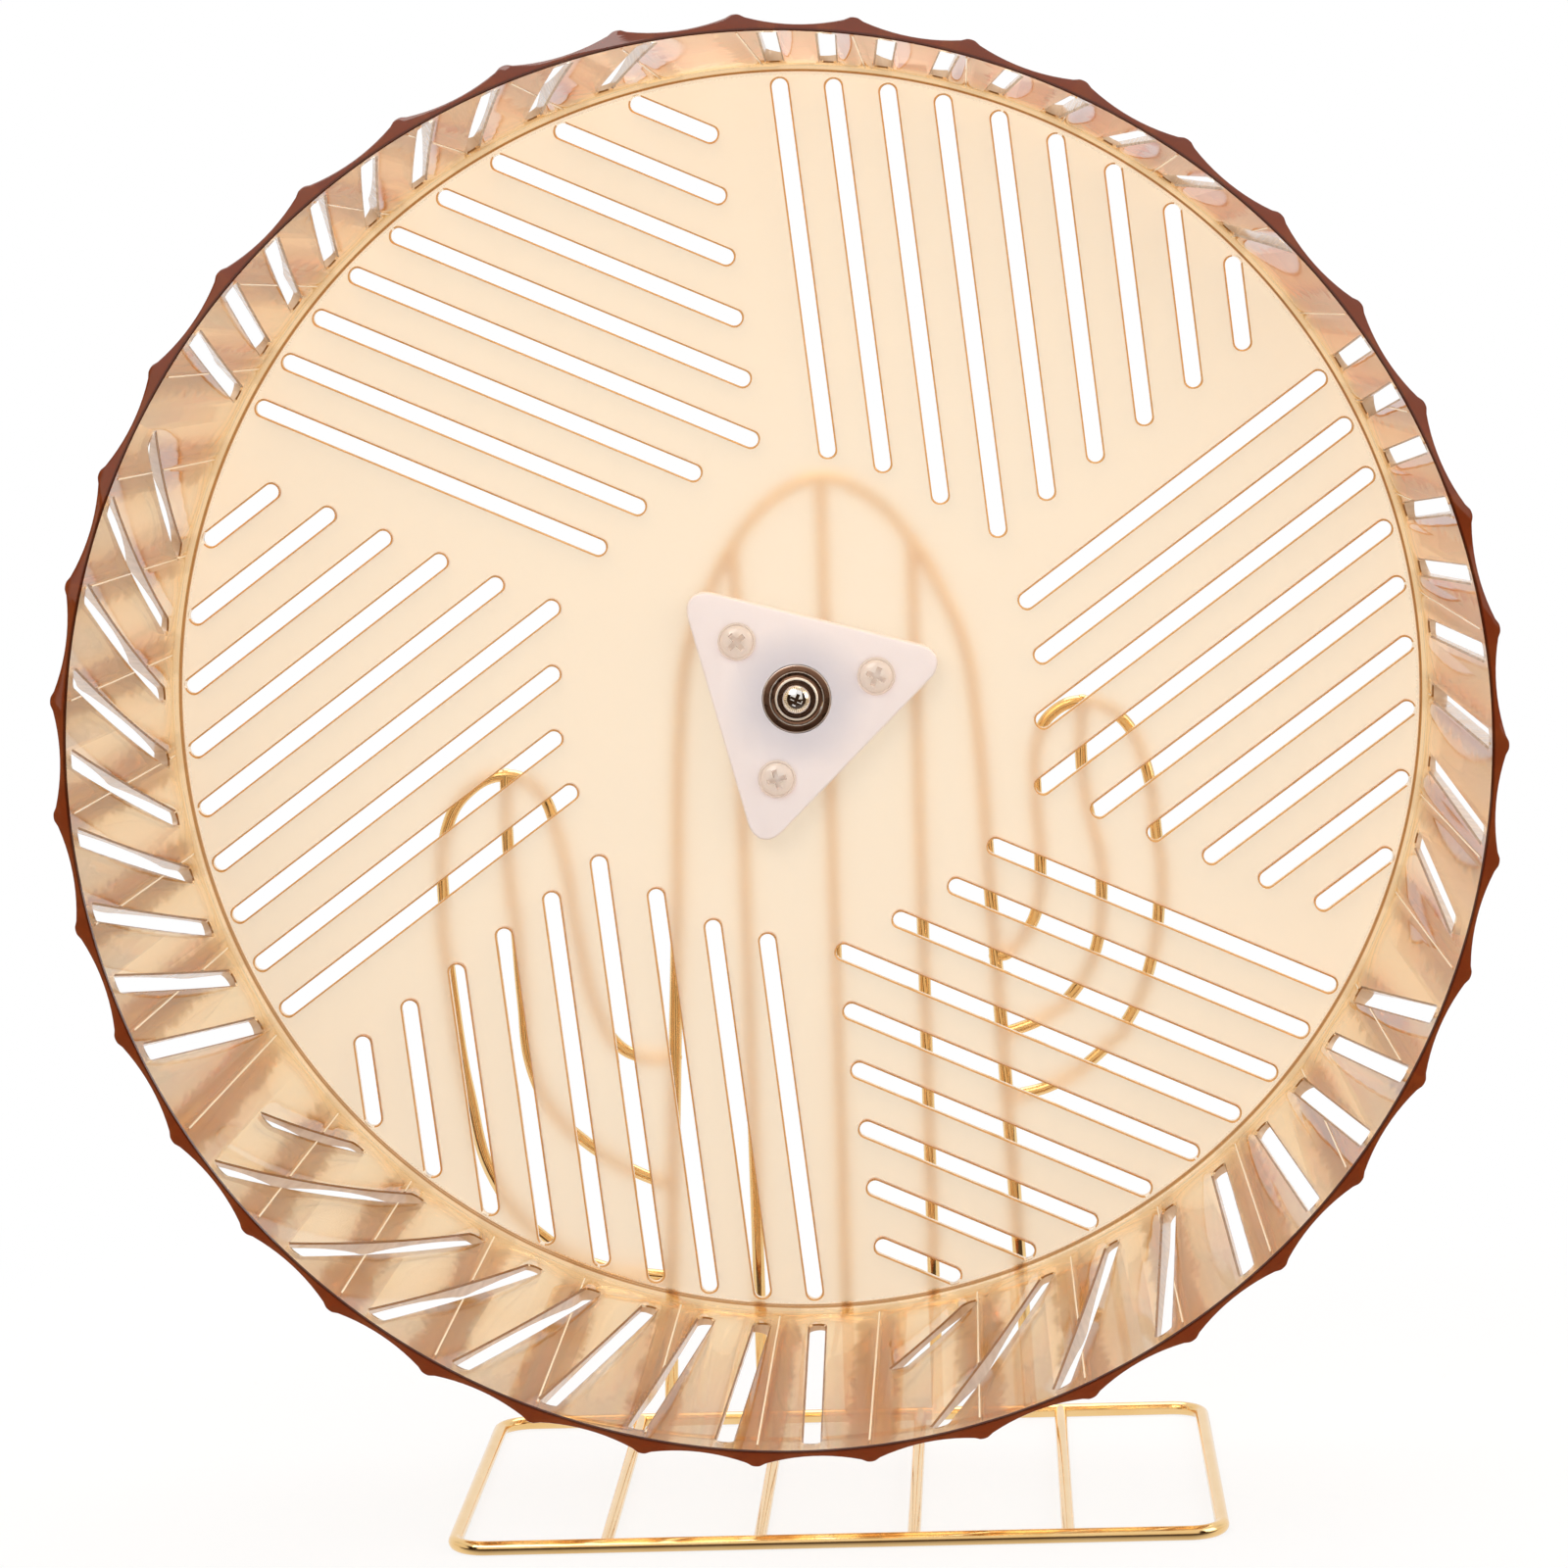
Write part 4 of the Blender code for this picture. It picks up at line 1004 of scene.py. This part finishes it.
amber = material("amber styrene plastic, moulded glossy and satin")
place, radius, along = from_axle()
on_floor = add("Math MULTIPLY", add(SMOOTH, along, DISC_Y - 0.8 * MM, DISC_Y - 0.2 * MM),
               add(SMOOTH, radius, BACK_RADIUS - 0.5 * MM, BACK_RADIUS - 2.0 * MM))
# Painted light: an orange glow on the wall near the floor.
corner_glow = add(SMOOTH, along, DISC_Y - 15 * MM, DISC_Y - 1 * MM)
on_end = add(SMOOTH, along, lip_y + 0.5 * MM, lip_y + 0.15 * MM)
axes = add("SeparateXYZ", place).outputs
turn = add("Math ARCTAN2", add("Math SUBTRACT", axes["Z"], AXLE.z), axes["X"])
flutes = add("Math DIVIDE", add("Math SUBTRACT", turn, FIRST_CREST), FLUTE_ANGLE)
to_crest = add("Math PINGPONG", flutes, 0.5)
swirl = add("TexNoise", place, 1 / (7 * MM), 2.0)
wavy = add("Math ADD", to_crest, add(SMOOTH, swirl, 0.3, 0.7, -0.05, 0.05))
# Painted shade: a darker band beside each crest, where the flutes bend the light away; it also lets
# less light straight through.
shade_band = add("Math MULTIPLY", add(SMOOTH, wavy, 0.25, 0.17),
              add(SMOOTH, along, DISC_Y - 2 * MM, DISC_Y - 12 * MM, 0.35, 1.0))
off_line = add("Math MULTIPLY", add("Math MULTIPLY", to_crest, FLUTE_ANGLE), radius)
# Painted highlight: a pale stroke along each crest line.
crest_highlight = add("Math MULTIPLY",
              add(SMOOTH, off_line, LINE_WIDTH / 2 + EDGE_BLUR, LINE_WIDTH / 2 - EDGE_BLUR),
              add("Math MULTIPLY",
                  add(SMOOTH, along, lip_y + LINE_FRONT, lip_y + LINE_FRONT + 0.3 * MM),
                  add(SMOOTH, along, DISC_Y - LINE_BACK, DISC_Y - LINE_BACK - 0.3 * MM)))
# Painted shade: a brown line along the seam round the floor.
off_seam = add("Math ABSOLUTE", add("Math SUBTRACT", radius, SEAM_RADIUS))
seam_shade = add("Math MULTIPLY", add(SMOOTH, off_seam, 0.3 * MM, 0.12 * MM),
              add(SMOOTH, along, DISC_Y - 0.8 * MM, DISC_Y - 0.3 * MM))

# %% Make the amber plastic
grain = add("TexNoise", place, 1 / (0.3 * MM), 2.0)         # of the floor
flow = add("TexNoise", place, 1 / (40 * MM), 2.0)           # of the melt in the wall
roughness = add("Mix FLOAT", on_floor, add(SMOOTH, flow, 0.3, 0.7, 0.03, 0.06),
                add(SMOOTH, grain, 0.3, 0.7, 0.28, 0.3))
bump = add("Bump", add("Math MULTIPLY", on_floor, 0.04), 0.01 * MM, Height=grain)
# Painted light: the end face's reddish brown, darker towards its inner edge, stands for light piped
# along the wall.
piped_light_tint = add("Mix RGBA", add(SMOOTH, radius, LIP_RADIUS + 0.25 * MM, LIP_RADIUS + 0.7 * MM),
               "#3E190B", "#713318")
# The plastic's own pale tint and the floor's paler one, with the painted glow, shade, highlight and
# piped light laid over them.
tint = "#FDF0D2"
for mask, over in ((corner_glow, "#F0BD78"), (shade_band, "#B49468"), (crest_highlight, "#FFF4DA"),
                   (on_floor, "#FFFBF4"), (seam_shade, "#A8743A"), (on_end, piped_light_tint)):
    tint = add("Mix RGBA", mask, tint, over)
held_back, solid = 0.0, add(SMOOTH, shade_band, 0.0, 1.0, 0.5, 0.75)
for mask, held, share in ((on_end, 0.75, 1.0), (crest_highlight, 0.75, 1.0), (on_floor, 0.2, 0.95),
                          (seam_shade, 0.4, 1.0)):
    held_back = add("Math MAXIMUM", held_back, add("Math MULTIPLY", mask, held))
    solid = add("Math MAXIMUM", solid, add("Math MULTIPLY", mask, share))
plastic = add("BsdfPrincipled", Base_Color=tint, Roughness=roughness, IOR=1.55, Normal=bump,
              Transmission_Weight=add("Math SUBTRACT", 1.0, held_back), Alpha=solid)
add("OutputMaterial", Surface=lets_lamps_through(plastic, "#FFFFFF"),
    Volume=add("VolumeAbsorption", (0.95, 0.745, 0.40, 1), 265.0))
wear(drum, amber)

# %% [markdown]
# Round every slot one looks along the thickness of the plastic, and the cut edge is polished.
# The edges are made opaque and painted with the shade and light of what passes along the plastic:
# a fine brown outline of painted shade on the rims, pale painted light on the floor slots' sides
# and streaked painted light and shade on the wall slots' sides. The edges are picked by where
# they are and how they face, and get a finish of their own.

# %% Paint shade and light on the slots' edges
HUB_CLEAR = 20 * MM                 # holes nearer to the axle aren't slots


def on_slot_edge(face):
    """Whether a face is the side or the rim of a slot."""
    across = Vector((face.center.x, 0, face.center.z - AXLE.z))
    if HUB_CLEAR < across.length < SLOT_OUTER + RIM and face.center.y > DISC_Y - MM / 10:
        return abs(face.normal.y) < 0.97
    in_wall = lip_y + 3 * MM < face.center.y < DISC_Y - 8 * MM
    return in_wall and abs(face.normal.dot(across.normalized())) < 0.75


edge = material("amber styrene plastic, slot edges")
place, radius, along = from_axle()
normal = add("NewGeometry").outputs["Normal"]
away = add("VectorMath MULTIPLY", add("VectorMath SUBTRACT", place, (0, 0, AXLE.z)), (1, 0, 1))
radial = add("VectorMath DOT_PRODUCT", normal, add("VectorMath NORMALIZE", away))
axial = add("SeparateXYZ", normal).outputs["Y"]
streak = add("TexNoise", place, 1 / (4 * MM), 2.0)
in_wall = add(SMOOTH, radius, BACK_RADIUS - 1.5 * MM, BACK_RADIUS - 0.5 * MM)
facing = add("Mix FLOAT", in_wall, add("Math ABSOLUTE", axial), add("Math ABSOLUTE", radial))
on_rim = add(SMOOTH, facing, 0.3, 0.5)
wall_side = add("Mix RGBA", streak, "#B49070", "#E6CDB0")
# Painted shade and light: cream sides and a tan rim on the floor slots, streaked sides and a dark
# brown rim on the wall slots.
tint = add("Mix RGBA", in_wall, add("Mix RGBA", on_rim, "#F4DDBA", "#CF9F66"),
           add("Mix RGBA", on_rim, wall_side, "#85551F"))
add("OutputMaterial", add("BsdfPrincipled", Base_Color=tint, IOR=1.55,
                          Roughness=add(SMOOTH, streak, 0.3, 0.7, 0.12, 0.25)))
drum.data.materials.append(edge)
edge_faces = [face for face in drum.data.polygons if on_slot_edge(face)]
for face in edge_faces:
    face.material_index = 1
print(len(edge_faces), "faces on the slots' edges")

# %% [markdown]
# ### Milky plastic and clear screws
# The plate is polypropylene without dye. It scatters light inside, which makes it milky. Its middle
# is painted a little darker, a painted shade where the steel behind it takes the light away. The
# screws are clear nylon, so only their outlines and the recess show.

# %% Make the milky and the clear plastic
milky = material("natural polypropylene, moulded satin")
place, radius, along = from_axle()
cloud = add("TexNoise", place, 1 / (6 * MM), 3.0)
# Painted shade: the plate darkens towards its middle, with a random cloud of tone over it.
shade_and_cloud = add("Math ADD", add(SMOOTH, radius, 6.0 * MM, 17.0 * MM),
           add("Math MULTIPLY", cloud, 0.25))
add("OutputMaterial", add(
    "BsdfPrincipled", Base_Color=add("Mix RGBA", shade_and_cloud, "#C9C7D2", "#E6DFE2"), IOR=1.49,
    Roughness=add(SMOOTH, cloud, 0.3, 0.7, 0.3, 0.4), Subsurface_Weight=0.3,
    Subsurface_Radius=(1.0, 0.9, 0.85), Subsurface_Scale=1.5 * MM))
wear(plate, milky)

clear = material("clear nylon, moulded glossy")
ripple = add("TexNoise", add("TexCoord").outputs["Object"], 1 / (2 * MM), 2.0)
glassy = add("BsdfPrincipled", Base_Color="#EFE6E0", IOR=1.53, Transmission_Weight=0.4,
             Roughness=add(SMOOTH, ripple, 0.3, 0.7, 0.05, 0.12))
add("OutputMaterial", lets_lamps_through(glassy, "#F4EAE6"))
for n in range(1, 4):
    wear(bpy.data.objects[f"hub_screw_moulding_{n}"], clear)

# %% [markdown]
# ### Steel
# Bearing steel is ground while it turns, which leaves rings finer than the eye can count. A
# wave in the distance from the axle bends the reflections the same way. The bearing is dark brown,
# and the washer's dark face is a painted dark reflection. Both get thin bright rings at their
# edges, painted highlights that are a little rougher. Only the bolt is chromed, and nearly a
# mirror.

# %% Make the steels
# The bright rings on the bearing and the washer are painted highlights; this sets how softly one
# ends.
HIGHLIGHT_BLUR = 0.04 * MM               # how softly a land's tint ends


def turned_steel(name, tint, smooth, rough, ring_mm, strength, highlight_rings=(), highlight_tint="#FFFFFF"):
    """Steel with rings from turning round the axle, and painted highlight rings at given radii."""
    made = material(name)
    place, radius, along = from_axle()
    cloud = add("TexNoise", place, 1 / (1.5 * MM), 3.0)
    rings = add("Math SINE", add("Math MULTIPLY", radius, 2 * pi / (ring_mm * MM)))
    on_highlight, finish = 0.0, add(SMOOTH, cloud, 0.3, 0.7, smooth, rough)
    for low, high in highlight_rings:
        off = add("Math ABSOLUTE", add("Math SUBTRACT", radius, (low + high) / 2 * MM))
        half = (high - low) / 2 * MM
        highlight_ring = add(SMOOTH, off, half + HIGHLIGHT_BLUR, half - HIGHLIGHT_BLUR)
        on_highlight = add("Math MAXIMUM", on_highlight, highlight_ring)
        finish = add("Math MAXIMUM", finish, add("Math MULTIPLY", on_highlight, 0.5))
    add("OutputMaterial", add(
        "BsdfPrincipled", Base_Color=add("Mix RGBA", on_highlight, tint, highlight_tint), Metallic=1.0,
        Roughness=finish, Normal=add("Bump", strength, 0.01 * MM, Height=rings)))
    return made


# The bearing is dark brown; the washer's dark face is a painted dark reflection. Both carry painted
# highlight rings.
dark = turned_steel("bearing steel, ground and oiled", "#84624F", 0.24, 0.36, 0.45, 0.4,
                    ((5.0, 5.18), (6.3, 6.6)), "#F4EAE2")
inner = turned_steel("bearing steel, ground bright at the edge", "#6A4E40", 0.2, 0.3, 0.4, 0.3,
                     ((3.64, 4.2),), "#FFFAF4")
bright = turned_steel("plain steel, turned bright", "#C9C2BC", 0.2, 0.3, 0.3, 0.3)
chrome = turned_steel("steel, chrome plated", "#EDEAE8", 0.04, 0.09, 1.5, 0.03)
for name, steel in (("bearing_outer_ring_ground", dark), ("bearing_front_shield_pressed", dark),
                    ("bearing_rear_shield_pressed", dark), ("axle_spacer_turned", bright),
                    ("axle_nut_hexagon", bright), ("axle_bolt_domed", chrome),
                    ("axle_washer_turned", inner)):
    wear(bpy.data.objects[name], steel)
for name in ["bearing_inner_ring", "bearing_cage"] + [f"bearing_ball_{n}" for n in range(1, 8)]:
    for slot in frame["nodes"][name].material_slots:
        slot.material = bright

# %% [markdown]
# ### Gold-coloured plating
# The stand is steel wire with a thin bright plating. Plating follows the drawn wire below it,
# so its gloss wanders a little along the length, and the colour deepens where it is thicker.

# %% Make the plating
gold = material("steel wire, plated gold")
place = add("TexCoord").outputs["Object"]
cloud = add("TexNoise", place, 1 / (9 * MM), 4.0)
draw = add("TexNoise", place, 1 / (0.6 * MM), 2.0)
add("OutputMaterial", add(
    "BsdfPrincipled", Base_Color=add("Mix RGBA", cloud, "#E5B872", "#F4D39E"), Metallic=1.0,
    Roughness=add(SMOOTH, cloud, 0.3, 0.7, 0.09, 0.17),
    Normal=add("Bump", 0.04, 0.01 * MM, Height=draw)))
for piece in bpy.data.objects:
    if piece.get("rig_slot") == "gold_wire" and piece.type == "MESH" and not piece.hide_render:
        wear(piece, gold)

# %% [markdown]
# ## Studio
# The photograph shows the wheel on white with no edge between floor and wall. The camera sees
# a white world, and rays through the plastic see white ahead and cream elsewhere. Mirrored
# rays see a soft studio with a dark flag on each side, for polished metal to reflect.

# %% Light the world
world = bpy.data.worlds.new("studio")
bpy.context.scene.world = world
world.use_nodes = True
tree = world.node_tree
tree.nodes.clear()
way = add("SeparateXYZ", add("TexCoord").outputs["Generated"]).outputs
ahead = add(SMOOTH, way["Y"], 0.1, 0.6)
backdrop = add("Mix RGBA", ahead, "#F8E8C4", "#FFFFFF")
room = add("Mix RGBA", add(SMOOTH, way["Z"], -0.3, 0.6), "#E8DCC8", "#FFFFFF")
aside = add("Math ABSOLUTE", way["X"])
flag = add("Math MULTIPLY", add(SMOOTH, aside, 0.42, 0.52), add(SMOOTH, aside, 0.86, 0.76))
flag = add("Math MULTIPLY", flag, add(SMOOTH, way["Z"], 0.7, 0.4))
room = add("Mix RGBA", flag, room, "#2C1D12")
mirrored = add("Mix RGBA", ahead, room, "#FFFFFF")
path = add("LightPath").outputs
light = add("Background", "#FFFDFB", 0.55)
for ray, seen in (("Is Glossy Ray", mirrored), ("Is Transmission Ray", backdrop),
                  ("Is Camera Ray", "#FFFFFF")):
    light = add("MixShader", path[ray], light, add("Background", seen, 1.0))
add("OutputWorld", light)

# %% [markdown]
# The floor is a wide pale plane. Near the wheel it is matte and keeps the shadow, and further
# out it fades into the white world, so that no horizon shows. In front of the wheel, mirrored
# rays see a painted dark card on it, a painted reflection that gives the base's front rod its dark
# stripe.

# %% Make the floor
FADE = (0.14, 0.34)                 # metres from the middle where the floor turns white
# The card is painted: a dark reflection that only mirrored rays see on the floor.
PAINTED_CARD = (-0.0365, -0.042)            # depth in metres where the card sets in

bpy.ops.mesh.primitive_plane_add(size=12, location=(0, 0, 0))
floor = started("floor")
matte = material("paper sweep, pale matte")
place = add("TexCoord").outputs["Object"]
far = add("VectorMath LENGTH", place)
fibre = add("TexNoise", place, 1 / (3 * MM), 2.0)
path = add("LightPath").outputs
glossy, passed = path["Is Glossy Ray"], path["Is Transmission Ray"]
to_eye = add("Math MULTIPLY", path["Is Camera Ray"], add(SMOOTH, far, *FADE, 0.84, 1.0))
to_piece = add("Math MULTIPLY", add("Math MAXIMUM", glossy, passed),
               add(SMOOTH, far, *FADE, 0.95, 1.0))
sheet = add("BsdfDiffuse", add("Mix RGBA", fibre, "#F3F2F1", "#F7F6F5"))
in_front = add(SMOOTH, add("SeparateXYZ", place).outputs["Y"], *PAINTED_CARD)
mirrored = add("Math MAXIMUM", add("Math SUBTRACT", glossy, passed), 0.0)
painted_card = add("Math MULTIPLY", in_front, mirrored)
glow = add("Emission", add("Mix RGBA", painted_card, "#FFFFFF", "#38271A"), 1.0)
add("OutputMaterial", add("MixShader", add("Math MAXIMUM", to_eye, to_piece), sheet, glow))
wear(floor, matte)

# %% [markdown]
# Three large soft lamps stand in for light boxes: in front on the left, on the right and
# overhead. Large lamps give wide soft highlights and hardly any shadow.

# %% Hang the lamps
for name, spot, size, watts, tint in (
        ("key_lamp", (-0.5, -0.9, 1.1), 0.9, 9.6, "#FFFCF9"),
        ("fill_lamp", (1.1, -0.5, 0.6), 0.8, 5.5, "#FFFFFF"),
        ("top_lamp", (0.1, 0.4, 1.3), 1.0, 7, "#FFFFFF")):
    bpy.ops.object.light_add(type="AREA", location=spot)
    lamp = bpy.context.object
    lamp.name = name
    lamp.data.size = size
    lamp.data.energy = watts
    lamp.data.color = colour(tint)[:3]
    lamp.rotation_euler = (AXLE - Vector(spot)).to_track_quat("-Z", "Y").to_euler()
bpy.context.scene.view_settings.view_transform = "Standard"
